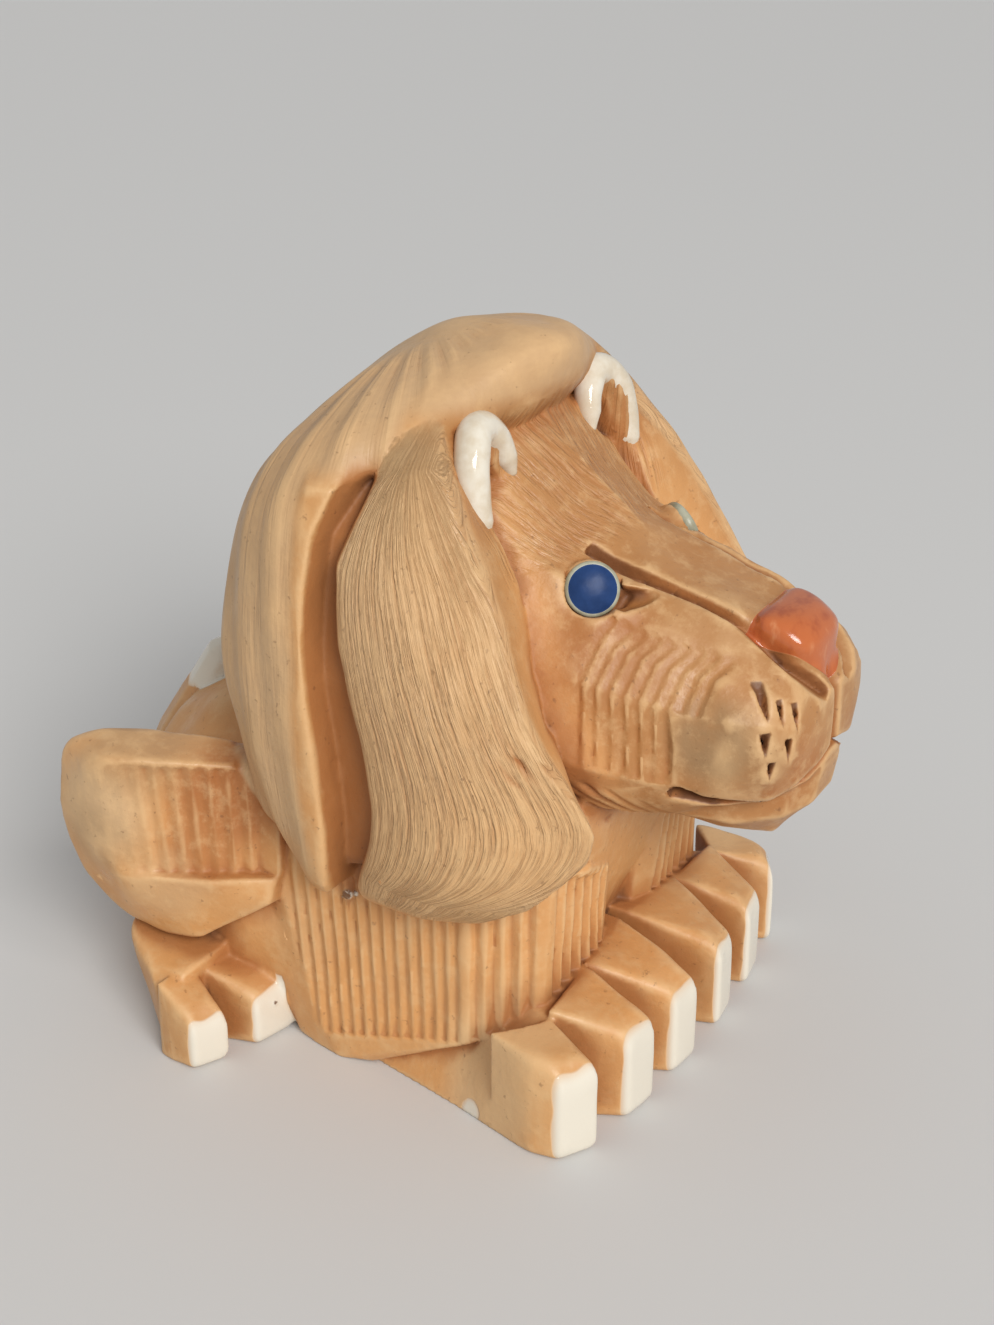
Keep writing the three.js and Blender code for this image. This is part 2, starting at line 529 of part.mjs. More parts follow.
function frontFoot(side) {
  const toes = TOES.map((plan, k) => toe(plan, TOE_HIGH, [0.8, 1.9, 2.3][k], side));
  const outer = block([
    [34.4, -29.4, 0.9], [34.2, -29, 0], [33.9, -29.6, 10.6], [32.6, -29.8, 13.2], [28, -31.4, 14.2],
    [25.4, -27.2, 0], [25.4, -27.2, 14.8], [30.4, -16.5, 0], [25.3, -15.6, 9], [21.5, -20, 11.4],
    [20, -12, 0], [18, -18, 14],
  ], side);
  const sole = block([
    [24, 4, 0], [26, 0.5, 0], [30.4, -16.5, 0], [25.4, -27, 0], [1, -25.4, 0], [1, 4, 0],
    [25.2, -15, 9], [25.4, -27, 14.6], [13.7, -26.2, 15.9], [1, -25.4, 16.4], [1, 0, 17],
    [24, 0, 5], [20, -10, 14],
  ], side);
  return join([...toes, outer, sole]);
}

function forearm(side) {
  const solid = block([
    [26.4, 11.4, 0], [28.3, 3.7, 0], [27.4, -1, 0.4], [28, -15.7, 8.2], [26.4, -21.4, 11], [23.5, -25.2, 13.6],
    [16, -26.3, 14.4], [9, -26, 14.8], [4.2, -24.2, 15.2], [28.4, 12, 24], [27.6, 15, 26], [26, 17, 12],
    [28, -15.9, 33], [26.4, -21.8, 33], [23, -26, 33], [16, -27.8, 32], [9, -27, 29], [4.6, -25.2, 25],
    [3, -21, 40], [27.6, 6, 40], [18, 18, 0], [18, 20, 30], [3, 10, 0], [3, -18, 6], [3, 16, 40],
  ], side);
  const comb = (a, b, count, out, deep) => flutes(
    a.map((p) => mirrored(p, side)), b.map((p) => mirrored(p, side)), count, mirrored(out, side), FLUTE_WIDE, deep,
  );
  return solid.subtract(join([
    comb([[28, 10.4, 2], [28, -15.4, 8.6]], [[28.4, 12.2, 32], [28, -15.4, 33]], 14, [1, 0, 0], FLUTE_DEEP),
    comb([[27.9, -16.3, 8.8], [24.2, -24.6, 13.4]], [[27.9, -16.3, 33], [24, -24.8, 33]], 4,
      [0.9, -0.43, 0], FLUTE_DEEP * 1.2),
    comb([[22, -25.5, 14.2], [7, -25.6, 15.4]], [[22.4, -26.4, 33], [9, -27, 29]], 6,
      [0.06, -0.99, -0.08], FLUTE_DEEP * 1.5),
  ]));
}

function thigh(side) {
  const solid = block(hipward([
    [39.6, 32, 43.7], [30, 16.5, 42.2], [27, 11, 41.4], [38.2, 31.4, 24.6], [34.4, 19, 25.2], [28.6, 11.4, 28.6],
    [37, 41.8, 41.4], [37.2, 42.6, 34], [36.3, 42.5, 28], [35.2, 41, 22.3], [34, 38.4, 17.8], [33, 35, 15.6],
    [33.4, 29.3, 15], [33, 22.8, 15.6], [31, 12.4, 23], [36, 41, 43.2], [34, 36.4, 44.9], [30.6, 30, 44.9],
    [26.4, 19.8, 43.6], [22, 38, 37], [20, 40, 26], [22, 37, 16], [20, 14, 40], [20, 12, 22], [39.4, 35.4, 41.4],
    [39, 36, 30],
  ]), side);
  const comb = flutes(hipward([[29.4, 13.4, 26.6], [38.2, 31.6, 26]]).map((p) => mirrored(p, side)),
    hipward([[28.6, 14, 41.4], [39.8, 32.4, 42.6]]).map((p) => mirrored(p, side)),
    9, mirrored([0.854, -0.519, -0.03], side), 2, 0.55);
  return solid.subtract(comb);
}

// Hind toes in plan, in the same order of points.
const HIND_TOES = [
  [[40.6, 23], [40.9, 18.8], [35.8, 16.5], [34.6, 19.4], [33.6, 24.6], [39.6, 25.6]],
  [[32, 18.4], [31.8, 14.7], [24.7, 13.2], [24.4, 17], [24, 24], [33.4, 24.4]],
  [[21, 16.6], [20.8, 13.2], [14.8, 13.2], [14.6, 17], [14, 24], [24, 24]],
];

function hindFoot(side) {
  const toes = HIND_TOES.map((plan) => toe(hipward(plan), HIND_TOE_HIGH, 2.4, side));
  const instep = block(hipward([
    [40.1, 23.6, 0], [36, 28, 0], [30, 34.5, 0], [22, 35, 0], [12, 34, 0], [12, 24, 0], [36.2, 22.6, 0],
    [40, 24.4, 4], [39.2, 25.6, 8], [37.6, 28.2, 11.6], [34, 34.4, 14], [32.6, 35.6, 14.6], [24, 38, 18],
    [12, 34, 20], [36.6, 23, 11.8], [12, 22.6, 12.4], [24, 21, 13.6],
  ]), side);
  return join([...toes, instep]);
}

function body() {
  const trunk = pebble([0, 21, 16], [29, 30, 29.5], 0.86, 16, 8);
  const chest = blocks([
    [-1, -14, 0], [24, -14, 0], [-1, 34, 0], [24, 34, 0], [-1, -22, 16], [14, -22, 16],
    [-1, -28.6, 38], [18, -28.6, 38], [-1, -27, 46], [18, -27, 46], [-1, -25.4, 24], [8, -25.4, 24],
    [-1, 10, 50], [24, 10, 50], [-1, 30, 30], [22, 30, 30],
  ]);
  const under = block([
    [-60, -60, -60], [60, -60, -60], [-60, 60, -60], [60, 60, -60],
    [-60, -60, 0], [60, -60, 0], [-60, 60, 0], [60, 60, 0],
  ]);
  return trunk.add(chest).subtract(under);
}

function tail() {
  const path = [[8, 6], [0.4, 12], [0, 22], [5, 31.4], [9.4, 38], [13.2, 45.4]];
  return limb(path.map(([inward, z]) => [0, TAIL_BACK - inward, z]),
    [TAIL_R * 1.2, TAIL_R * 1.1, TAIL_R, TAIL_R * 0.95, TAIL_R * 0.9, TAIL_R * 0.85], 10, 12);
}

// Clay behind the cheeks and the ear peaks, where neighbouring pieces would leave a sealed gap.
function backing() {
  return blocks([
    [15.8, -19, 46], [19, -19, 46], [15.8, -13.4, 46], [19, -13.4, 46],
    [15.8, -19, 50.4], [18.8, -19, 50.4], [15.8, -13.4, 50.4], [18.8, -13.4, 50.4],
  ]).add(blocks([
    [13.2, -9.8, 80.5], [17.6, -9.8, 80.5], [13.2, -4, 80.5], [17.6, -4, 80.5],
    [13.2, -9.8, 86], [17.6, -9.8, 85.5], [14.1, -12.4, 86.2], [15.7, -12.3, 86.3],
    [14.3, -11.7, 89.5], [16.3, -11.5, 89.8], [14.6, -6, 89.5], [16.4, -6, 89.5],
  ]));
}

function lion() {
  return join([
    backing(),
    body(),
    tail(),
    mane(),
    head(),
    ...SIDES.map(forearm),
    ...SIDES.map(frontFoot),
    ...SIDES.map(thigh),
    ...SIDES.map(hindFoot),
  ]);
}

// Turns the finished solid into a drawn mesh with flat faces.
function meshOf(solid, name, material) {
  const out = solid.getMesh();
  const geometry = new THREE.BufferGeometry();
  geometry.setAttribute("position", new THREE.BufferAttribute(Float32Array.from(out.vertProperties), 3));
  geometry.setIndex(Array.from(out.triVerts));
  geometry.computeVertexNormals();
  const mesh = new THREE.Mesh(geometry, material);
  mesh.name = name;
  return mesh;
}

// Moves a mesh so that its box stands centred on the origin.
function centred(mesh) {
  mesh.geometry.computeBoundingBox();
  const mid = mesh.geometry.boundingBox.getCenter(V(0, 0, 0));
  mesh.geometry.translate(-mid.x, -mid.y, -mesh.geometry.boundingBox.min.z);
  return mesh;
}

const part = new THREE.Group();
part.name = "lion_figurine_part";
const clay = new THREE.MeshStandardMaterial({ color: 0xc99a6b, roughness: 0.55, metalness: 0 });
clay.name = "clay";
part.add(centred(meshOf(lion(), "lion_figurine", clay)));

export default part;
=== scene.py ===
"""Looks of a crouching clay lion figurine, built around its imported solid.

Lengths are metres unless a comment says millimetres.
"""

import math

import bmesh
import bpy
import numpy as np
from bpy.props import FloatProperty, FloatVectorProperty, IntProperty, PointerProperty
from mathutils import Matrix, Vector
from mathutils.bvhtree import BVHTree
from mathutils.kdtree import KDTree


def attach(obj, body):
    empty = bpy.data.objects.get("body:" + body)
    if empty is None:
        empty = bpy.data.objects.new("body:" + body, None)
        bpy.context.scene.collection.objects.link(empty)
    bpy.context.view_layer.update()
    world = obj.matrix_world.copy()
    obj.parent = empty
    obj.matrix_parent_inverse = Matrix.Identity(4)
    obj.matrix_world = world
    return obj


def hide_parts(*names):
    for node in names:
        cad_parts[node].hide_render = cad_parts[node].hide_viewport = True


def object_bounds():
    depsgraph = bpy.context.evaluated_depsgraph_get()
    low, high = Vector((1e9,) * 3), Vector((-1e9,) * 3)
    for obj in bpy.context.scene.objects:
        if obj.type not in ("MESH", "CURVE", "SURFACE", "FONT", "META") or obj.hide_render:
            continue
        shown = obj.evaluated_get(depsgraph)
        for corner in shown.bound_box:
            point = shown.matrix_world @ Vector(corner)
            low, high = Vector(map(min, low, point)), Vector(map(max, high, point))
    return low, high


bl_info = {
    "name": "Clay lion figurine",
    "version": (1, 0, 0),
    "blender": (4, 5, 0),
    "location": "View3D > Sidebar > Lion",
    "description": "Builds the carved clay, the glazes, the eyes and the stage of a crouching lion figurine",
    "category": "Object",
}

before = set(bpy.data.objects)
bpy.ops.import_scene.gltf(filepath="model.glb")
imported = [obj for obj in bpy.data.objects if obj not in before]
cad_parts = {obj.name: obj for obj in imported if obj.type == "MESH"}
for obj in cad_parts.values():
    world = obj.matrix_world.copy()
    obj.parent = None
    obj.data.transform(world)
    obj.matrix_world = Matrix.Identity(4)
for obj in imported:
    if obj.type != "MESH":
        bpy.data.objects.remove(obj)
SOLID_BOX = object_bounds()
MM = 0.001
FULL_DEPTH = 9

# Places on the carving, in millimetres of the part's frame, for the +X side.
# Middle of the eye and the way it looks.
EYE_AT = (13.7, -27.7, 69.6)
EYE_OUT = (0.744, -0.541, 0.39)
# Eye in section: distance from its middle and height over the eye's place.
EYE_SECTION = (
    (0, 0.8), (1.2, 0.73), (2.2, 0.52), (2.8, 0.3), (2.96, 0.2), (3.04, 0.2), (3.2, 0.18), (3.36, 0.06),
    (3.48, -0.16), (3.52, -1.2), (0, -1.2),
)
EYE_BLUE_R = 3
# The lid closes in on the eye by this much and stands proud by this much.
LID_IN = 0.75
LID_UP = 0.35
# Whisker pricks: place, width and height.
PRICKS = (
    (13.4, -50.7, 59.1, 2.1, 3.9), (12.4, -52.5, 57.8, 1.2, 3), (11, -54.1, 56.9, 1.2, 3.4),
    (14.8, -51.7, 54.3, 1.9, 3.2), (12, -53.3, 53.3, 1.3, 2.7), (14, -52.2, 50.8, 1.5, 2.4),
)
# Ear rim from its outer foot over the peak to its inner foot: x, y, z and radius.
EAR_RIM = (
    (19.9, -16.1, 75.6, 0.7), (20.3, -15.6, 78, 1.75), (20.3, -14.8, 82, 2.1), (19.1, -13.9, 86, 2.25),
    (15.8, -12.8, 88.2, 2.3), (12.8, -13.3, 86.6, 2), (11.4, -14.2, 83.6, 1.6), (10.8, -14.9, 81.4, 0.6),
)
# Front faces of the toes in plan: outer corner and inner corner.
FRONT_TOES = (((34.1, -34.9), (28.7, -37.8)), ((21.7, -38.5), (15.6, -39.4)), ((9.6, -39.5), (3.7, -40.1)))
HIND_TOES = (((40.9, 17.3), (35.8, 15.0)), ((31.8, 13.2), (24.7, 11.7)), ((20.8, 11.7), (14.8, 11.7)))
# Middle line of the tail's tip, the reach of the glaze around it and its lowest height.
TAIL_TIP = ((0, 40.1, 38), (0, 36.3, 45.4))
TAIL_WHITE_R = 5.4
TAIL_WHITE_Z = 37.4
# Front lock of the mane: height, front edge y, rear edge y.
LOCK_EDGES = (
    (29.4, -15.5, -5.3), (30.6, -20.1, -5.3), (33, -27.9, -6.1), (36.6, -32.5, -7.7), (41, -36.1, -9.1),
    (45, -36.7, -9.5), (50, -34.9, -8.9), (56, -31.3, -7.9), (62, -27.8, -6.1), (70.4, -23.7, -5.3),
    (76, -20.1, -5.1), (81, -16.3, -6.3), (86, -13.1, -6.9), (88.8, -11.5, -7.9), (90.8, -10.7, -9.3),
)
# Inner limit of the lock's outer face: height, distance from the middle plane.
LOCK_INNER = ((30, 29), (45, 27.4), (60, 31.5), (75, 27), (88, 21))
LOCK_WIDE = 27
# Heights over which the lanes of the lock's strands are evened out.
LANE_STEPS = (-5, -2.5, 0, 2.5, 5)
# Outer edge of the hood beside the crescent groove: height, distance from the middle plane.
HOOD_LIP = ((29, 33), (36, 36.4), (48, 37.8), (60, 38), (68, 37.6), (77, 36.6), (83, 35), (87.2, 30.8))
# Reach of the hood backwards: height, y.
HOOD_BACK = (
    (29, 6), (31, 9), (36, 16), (42, 21), (48, 25.4), (54, 28.4), (60, 30.2), (68, 28), (77, 25.8),
    (83, 21.8), (88.6, 15.5), (92, 11), (98.1, 2),
)
HOOD_WIDE = 38.5
# The ridges of the hood fan out around an upright line at this y.
FAN_Y = 4
FAN_WIDE = 34
# Patches of greyish bloom: middle, reach, share.
BLOOM_PATCHES = (
    ((38.5, 33, 35), 11, 1), ((30, 30, 46), 12, 0.35), ((28, 8, 18), 9, 0.3), ((32, -22, 4), 11, 0.9),
    ((37, 24, 24), 8, 0.6), ((30, -27, 14), 8, 0.45),
)
# Patches of greenish ash in the clay: middle, reach, share.
ASH_PATCHES = (
    ((17, -46, 54), 8, 0.9), ((14, -50.5, 52), 6, 0.5), ((38, 33, 30), 8, 0.4), ((35, 28, 44), 10, 0.45),
)
# Patches of rusty staining and painted warm shade, as on the thigh beside the mane, the hip and the cheek
# below the eye: middle, reach, share.
RUST_AND_SHADE_PATCHES = (
    ((31, 17, 37), 11, 1), ((33, 20, 30), 8, 0.8), ((16.9, -31.6, 63.9), 10, 0.6),
    ((10.3, -54.2, 48), 9, 0.8), ((22, -14, 80), 7, 0.5), ((35, 26, 45), 9, 0.3),
)
# Small glossy runs in the glaze: middle and reach.
GLOSS_SPOTS = (((36.6, -24.9, 43.6), 3.2), ((36, -19, 36), 1.8), ((37, 33, 24), 1.6), ((30, -34, 13), 1.6))
# Patches of worn, lighter clay: middle, reach, share.
WORN_PATCHES = (((31, -24, 9), 13, 0.75),)
# Cuts of the face that hold dark staining and painted shade: beside the bridge of the nose, the eye's corner
# and the mouth.
BRIDGE_CUT = ((7.7, -23.5, 73), (7.5, -28.6, 70.3), (9.2, -35.1, 69), (8.8, -40.2, 67.3), (7.9, -45.8, 65.2),
              (5.7, -49.1, 61.3), (4.2, -52, 59.1), (2.8, -54.2, 57.3))
CORNER_CUT = ((10.1, -30.9, 68.3), (10.1, -32.5, 68.3))
MOUTH_CUT = ((17.3, -41.7, 46.9), (15.2, -42.7, 45.7), (13.9, -44.8, 45.1))
# Sooty drops on the photographed side: middle and reach.
SOOT_DROPS = (((-28.1, 0.2, 26.1), 1.1), ((-28.4, -1.1, 26.7), 0.8), ((-28.3, 1.2, 25.5), 0.6),
              ((-28.5, 12.4, 5.6), 0.5))
DROP_HIGH = 0.4
# Smear of white glaze beside the front paw.
SMEAR_AT = (31, -20, 0.8)
SMEAR_R = 1.6
# White glaze of the toes: highest point in front and behind, and how far it reaches behind the front faces.
FRONT_WHITE_TOP = 12.4
HIND_WHITE_TOP = 8.2
WHITE_BACK = 0.9
# Nose glaze: rear and front y, the height where the rear is measured, lowest height and half width.
NOSE_BACK = -45.9
NOSE_FRONT = -53.4
NOSE_BACK_Z = 67.4
NOSE_LOW = 60.2
NOSE_HALF = 7.6

# Relief in millimetres: pitch and length of strands, ridges and strokes, and size of the uneven surface.
STRAND_PITCH = 1.7
STRAND_WANDER = 0.4
RIDGE_PITCH = 6.2
RIDGE_SWAY = 1.6
RIDGE_SWAY_RUN = 17
BROW_PITCH = 1.5
BROW_LENGTH = 6
JAW_PITCH = 1.9
JAW_LENGTH = 40
UNEVEN_SIZE = 11
# Relief in metres.
UNEVEN_DEPTH = 0.00014
PRICK_DEPTH = 0.0005
# Feelers that find how far clay shelters a place: their number, reach, start above the skin and turn.
FEELERS = 14
SHELTER_REACH = 0.010
SHELTER_LIFT = 0.00015
GOLDEN_TURN = 2.399963
# Spacing of the points that mark creases of the solid.
CREASE_SPACING = 0.0003
# Share of the sideways place in the grain, so that both sides differ.
SIDE_SHIFT = 0.02

# Further tones of clay and glaze. WHITE_POOL is a share of the white, for each channel.
CLOUD_TONE = (0.36, 0.20, 0.085)
NOSE_POOL = (0.36, 0.08, 0.025)
NOSE_THIN = (0.60, 0.25, 0.11)
WHITE_THIN = (0.66, 0.47, 0.30)
WHITE_POOL = (0.86, 0.8, 0.72)
EYE_POOL = (0.014, 0.036, 0.11)
RING_POOL = (0.25, 0.23, 0.15)
FLOOR_TONE = (0.62, 0.61, 0.59, 1)
SKY_TONE = (0.97, 0.98, 1, 1)
# Stage: half width of the floor, where the lamps stand and what they look at.
FLOOR_HALF = 8
KEY_AT = (-0.62, -0.75, 0.62)
KEY_SPREAD = math.radians(24)
WINDOW_AT = (-0.35, -0.7, 0.7)
WINDOW_POWER = 1.6
WINDOW_SIZE = 0.25
AIM = (0, 0, 0.05)


class LionCarving(bpy.types.PropertyGroup):
    """Sizes of the carved surface."""

    skin_step: FloatProperty(
        name="Skin step", description="Spacing of the points that carry the carving", default=0.00036,
        min=0.0002, unit="LENGTH", subtype="DISTANCE",
    )
    skin_faces: IntProperty(
        name="Skin faces", description="Triangles that the finished skin may have", default=190000, min=20000,
    )
    crease_angle: FloatProperty(
        name="Crease angle", description="Edges of the solid sharper than this stay crisp",
        default=math.radians(27), subtype="ANGLE",
    )
    crease_room: FloatProperty(
        name="Crease room", description="Width beside a crease that stays as it is", default=0.0006,
        unit="LENGTH", subtype="DISTANCE",
    )
    crease_soft: FloatProperty(
        name="Crease softness", description="Share of the smoothing that creases take", default=0.035,
        min=0, max=1, subtype="FACTOR",
    )
    soft_rounds: IntProperty(
        name="Soft rounds", description="Smoothing rounds on the broad surfaces", default=110, min=0,
    )
    strand_depth: FloatProperty(
        name="Strand depth", description="Depth of the combed strands on the front locks", default=0.00016,
        unit="LENGTH", subtype="DISTANCE",
    )
    ridge_depth: FloatProperty(
        name="Ridge depth", description="Depth of the soft ridges on the back of the mane", default=0.0004,
        unit="LENGTH", subtype="DISTANCE",
    )
    stroke_depth: FloatProperty(
        name="Stroke depth", description="Depth of the short strokes on brow and jaw", default=0.0003,
        unit="LENGTH", subtype="DISTANCE",
    )


class LionColours(bpy.types.PropertyGroup):
    """Colours of clay and glazes."""

    clay: FloatVectorProperty(
        name="Clay", description="Orange clay of body and feet", default=(0.61, 0.30, 0.105), size=3,
        subtype="COLOR", min=0, max=1,
    )
    face: FloatVectorProperty(
        name="Face clay", description="Darker orange clay of the face", default=(0.42, 0.19, 0.062), size=3,
        subtype="COLOR", min=0, max=1,
    )
    pale: FloatVectorProperty(
        name="Pale clay", description="Greyish bloom on the mane", default=(0.58, 0.375, 0.195), size=3,
        subtype="COLOR", min=0, max=1,
    )
    worn: FloatVectorProperty(
        name="Worn clay", description="Light clay on worn ridges", default=(0.70, 0.45, 0.22), size=3,
        subtype="COLOR", min=0, max=1,
    )
    # Staining of strands and rusty patches, which also paints shade into the hollows.
    stain_and_shade: FloatVectorProperty(
        name="Stain", description="Stain left in the cuts", default=(0.36, 0.13, 0.035), size=3,
        subtype="COLOR", min=0, max=1,
    )
    # Darkest colour: painted shade in narrow cuts, pricks and grooves, and the dark specks and sooty drops.
    deep_stain_and_shade: FloatVectorProperty(
        name="Deep stain", description="Darkest stain in narrow cuts", default=(0.11, 0.04, 0.016), size=3,
        subtype="COLOR", min=0, max=1,
    )
    white: FloatVectorProperty(
        name="White glaze", description="Glaze on ear rims, toes and tail tip", default=(0.70, 0.64, 0.53),
        size=3, subtype="COLOR", min=0, max=1,
    )
    nose: FloatVectorProperty(
        name="Nose glaze", description="Glaze on the nose", default=(0.47, 0.125, 0.038), size=3,
        subtype="COLOR", min=0, max=1,
    )
    ash: FloatVectorProperty(
        name="Ash", description="Greenish grey patches of muzzle and thigh", default=(0.31, 0.185, 0.085),
        size=3, subtype="COLOR", min=0, max=1,
    )
    eye: FloatVectorProperty(
        name="Eye glaze", description="Blue of the eyes", default=(0.02, 0.05, 0.15), size=3,
        subtype="COLOR", min=0, max=1,
    )
    eye_ring: FloatVectorProperty(
        name="Eye ring", description="Glaze around the blue", default=(0.40, 0.40, 0.30), size=3,
        subtype="COLOR", min=0, max=1,
    )


class LionStage(bpy.types.PropertyGroup):
    """Camera and light."""

    lens: FloatProperty(
        name="Lens", description="Focal length on a 36 mm frame, millimetres", default=54.07, min=1,
    )
    eye: FloatVectorProperty(
        name="Camera", description="Where the camera stands", default=(-0.2171, -0.1289, 0.158), size=3,
        subtype="TRANSLATION",
    )
    azimuth: FloatProperty(
        name="Azimuth", description="Turn of the view from +Y", default=math.radians(-60.6), subtype="ANGLE",
    )
    pitch: FloatProperty(
        name="Pitch", description="How far the view looks down", default=math.radians(23.4), subtype="ANGLE",
    )
    sun: FloatProperty(name="Key light", description="Strength of the broad key light", default=2.3, min=0)
    sky: FloatProperty(
        name="Sky light", description="Strength of the light from all around", default=0.46, min=0,
    )


# Meshes.


def arrays(mesh):
    """Vertex places, vertex normals and edges of a mesh as arrays."""
    co = np.empty(len(mesh.vertices) * 3)
    mesh.vertices.foreach_get("co", co)
    normal = np.empty(len(mesh.vertices) * 3)
    mesh.vertex_normals.foreach_get("vector", normal)
    edge = np.empty(len(mesh.edges) * 2, dtype=np.int64)
    mesh.edges.foreach_get("vertices", edge)
    return co.reshape(-1, 3), normal.reshape(-1, 3), edge.reshape(-1, 2)


def put(mesh, co):
    """Writes vertex places back."""
    mesh.vertices.foreach_set("co", np.ascontiguousarray(co, dtype=np.float32).ravel())
    mesh.update()


def neighbour_mean(values, edge, degree):
    """Mean of each vertex's neighbours."""
    out = np.empty_like(values)
    a, b = edge[:, 0], edge[:, 1]
    for k in range(values.shape[1]):
        column = values[:, k]
        out[:, k] = np.bincount(a, column[b], len(values)) + np.bincount(b, column[a], len(values))
    return out / degree[:, None]


def smoothed(values, edge, rounds, share=0.6):
    """Values after some rounds of smoothing; share may differ by vertex."""
    share = np.broadcast_to(np.asarray(share, dtype=float).reshape(-1, 1), (len(values), 1))
    moving = (share[edge[:, 0], 0] > 0) | (share[edge[:, 1], 0] > 0)
    members, inner = np.unique(edge[moving], return_inverse=True)
    inner = inner.reshape(-1, 2)
    degree = np.maximum(1, np.bincount(inner.ravel(), minlength=len(members)))
    part = values[members]
    for _ in range(rounds):
        part = part + share[members] * (neighbour_mean(part, inner, degree) - part)
    values = values.copy()
    values[members] = part
    return values


def evaluated(piece):
    """The piece's mesh with its modifiers applied."""
    depsgraph = bpy.context.evaluated_depsgraph_get()
    return bpy.data.meshes.new_from_object(piece.evaluated_get(depsgraph))


def baked(piece, kind, **settings):
    """Applies one modifier to the piece."""
    step = piece.modifiers.new(kind.lower(), kind)
    for name, value in settings.items():
        setattr(step, name, value)
    mesh = evaluated(piece)
    piece.modifiers.clear()
    piece.data = mesh


def new_piece(name, mesh):
    """A new object at the origin."""
    piece = bpy.data.objects.new(name, mesh)
    bpy.context.scene.collection.objects.link(piece)
    return piece


def crease_distance(bm, angle, co, reach):
    """Distance from each place to the nearest crease of the solid."""
    spots = []
    for edge in bm.edges:
        if len(edge.link_faces) == 2 and abs(edge.calc_face_angle(0)) > angle:
            a, b = edge.verts[0].co, edge.verts[1].co
            count = max(1, int((b - a).length / CREASE_SPACING))
            spots.extend(a.lerp(b, (k + 0.5) / count) for k in range(count))
    tree = KDTree(len(spots))
    for k, spot in enumerate(spots):
        tree.insert(spot, k)
    tree.balance()
    return np.array([min(reach, tree.find(p)[2]) for p in co.tolist()])


def waves(co, scale, seed):
    """Smooth wandering field from a few plane waves, about -1 to 1."""
    rng = np.random.default_rng(seed)
    total = np.zeros(len(co))
    for _ in range(7):
        way = rng.normal(size=3)
        way /= np.linalg.norm(way)
        total += np.sin(co @ way * (2 * math.pi / scale) * rng.uniform(0.6, 1.5) + rng.uniform(0, 6.28))
    return total / 3.2


def hashed(number, seed):
    """A share that looks random, 0 to 1, for each whole number."""
    return np.modf(np.abs(np.sin(number * 12.9898 + seed * 78.233) * 43758.5453))[0]


def streaks(across, along, pitch, wander, seed):
    """Depth of uneven long strands, 0 to 1, from millimetres across them and along them."""
    rng = np.random.default_rng(seed)
    drift = np.zeros(len(across))
    for _ in range(3):
        wave = along / rng.uniform(7, 22) + across / rng.uniform(3, 9) + rng.uniform(0, 6.28)
        drift += wander * np.sin(wave)
    place = (across + drift) / pitch
    lane = np.floor(place)
    shape = np.abs(2 * (place - lane) - 1) ** 3
    return shape * (0.35 + 0.65 * hashed(lane, seed))


def strokes(across, along, pitch, length, seed):
    """Depth of short strokes laid side by side, 0 to 1, each with its own start and strength."""
    lane = np.floor(across / pitch)
    run = along / length + hashed(lane, seed)
    step = np.floor(run)
    part = run - step
    profile = np.clip(1 - np.abs(2 * (across / pitch - lane) - 1) * 1.5, 0, 1)
    ends = band(part, 0, 0.15, 0.65, 0.95)
    return profile * ends * (0.35 + 0.65 * hashed(lane * 7 + step, seed + 1))


def ramp(value, low, high):
    """Smooth step from 0 at low to 1 at high."""
    t = np.clip((value - low) / (high - low), 0, 1)
    return t * t * (3 - 2 * t)


def band(value, low, full_low, full_high, high):
    """Smooth rise from 0 at low to 1, and fall back to 0 at high."""
    return ramp(value, low, full_low) * (1 - ramp(value, full_high, high))


# Places on the figurine. All of these take places in millimetres, unless they are named co.


def mirrored(mm):
    """Places with those of the -X side folded onto the +X side."""
    folded = mm.copy()
    folded[:, 0] = np.abs(folded[:, 0])
    return folded


def lock_share(mm):
    """Share of the way from the front edge of the front lock to its rear edge."""
    table = np.array(LOCK_EDGES)
    front = np.interp(mm[:, 2], table[:, 0], table[:, 1])
    rear = np.interp(mm[:, 2], table[:, 0], table[:, 2])
    return (mm[:, 1] - front) / (rear - front)


def lock_lane(mm):
    """Millimetres across the strands of the front lock, which bend evenly round its corners."""
    return LOCK_WIDE * sum(lock_share(mm + (0, 0, step)) for step in LANE_STEPS) / len(LANE_STEPS)


def hood_lane(mm):
    """Millimetres across the ridges of the hood."""
    return np.arctan2(np.abs(mm[:, 0]), FAN_Y - mm[:, 1]) * FAN_WIDE


def on_lock(mm):
    """How much a place belongs to the outer face of a front lock."""
    share = lock_share(mm)
    wide, z = np.abs(mm[:, 0]), mm[:, 2]
    inner = np.interp(z, *np.array(LOCK_INNER).T)
    return band(share, -0.06, 0.03, 0.97, 1.04) * ramp(wide, inner - 1, inner + 0.5) * band(z, 30, 33, 87, 91)


def on_back_mane(mm):
    """How much a place belongs to the hood of the mane behind the crescent groove."""
    wide, y, z = mirrored(mm).T
    back = np.interp(z, *np.array(HOOD_BACK).T)
    inside = (wide / HOOD_WIDE) ** 2 + (np.maximum(y, 0) / back) ** 2
    beyond_lip = np.maximum(ramp(y, -0.5, 1.5), ramp(z, 84, 87) * ramp(y, -9, -6))
    return beyond_lip * (1 - ramp(inside, 1.12, 1.2)) * ramp(z, 30, 34)


def on_fan(mm):
    """How much a place belongs to the ridged part of the hood, away from the line it fans out from."""
    return on_back_mane(mm) * ramp(np.hypot(mm[:, 0], mm[:, 1] - FAN_Y), 8, 16)


def brow_lane(mm):
    """Millimetres across the strokes of the brow."""
    return np.abs(mm[:, 0]) - 0.4 * mm[:, 1]


def on_crown(mm):
    """How much a place belongs to the top of the mane."""
    return ramp(mm[:, 2], 89.5, 92)


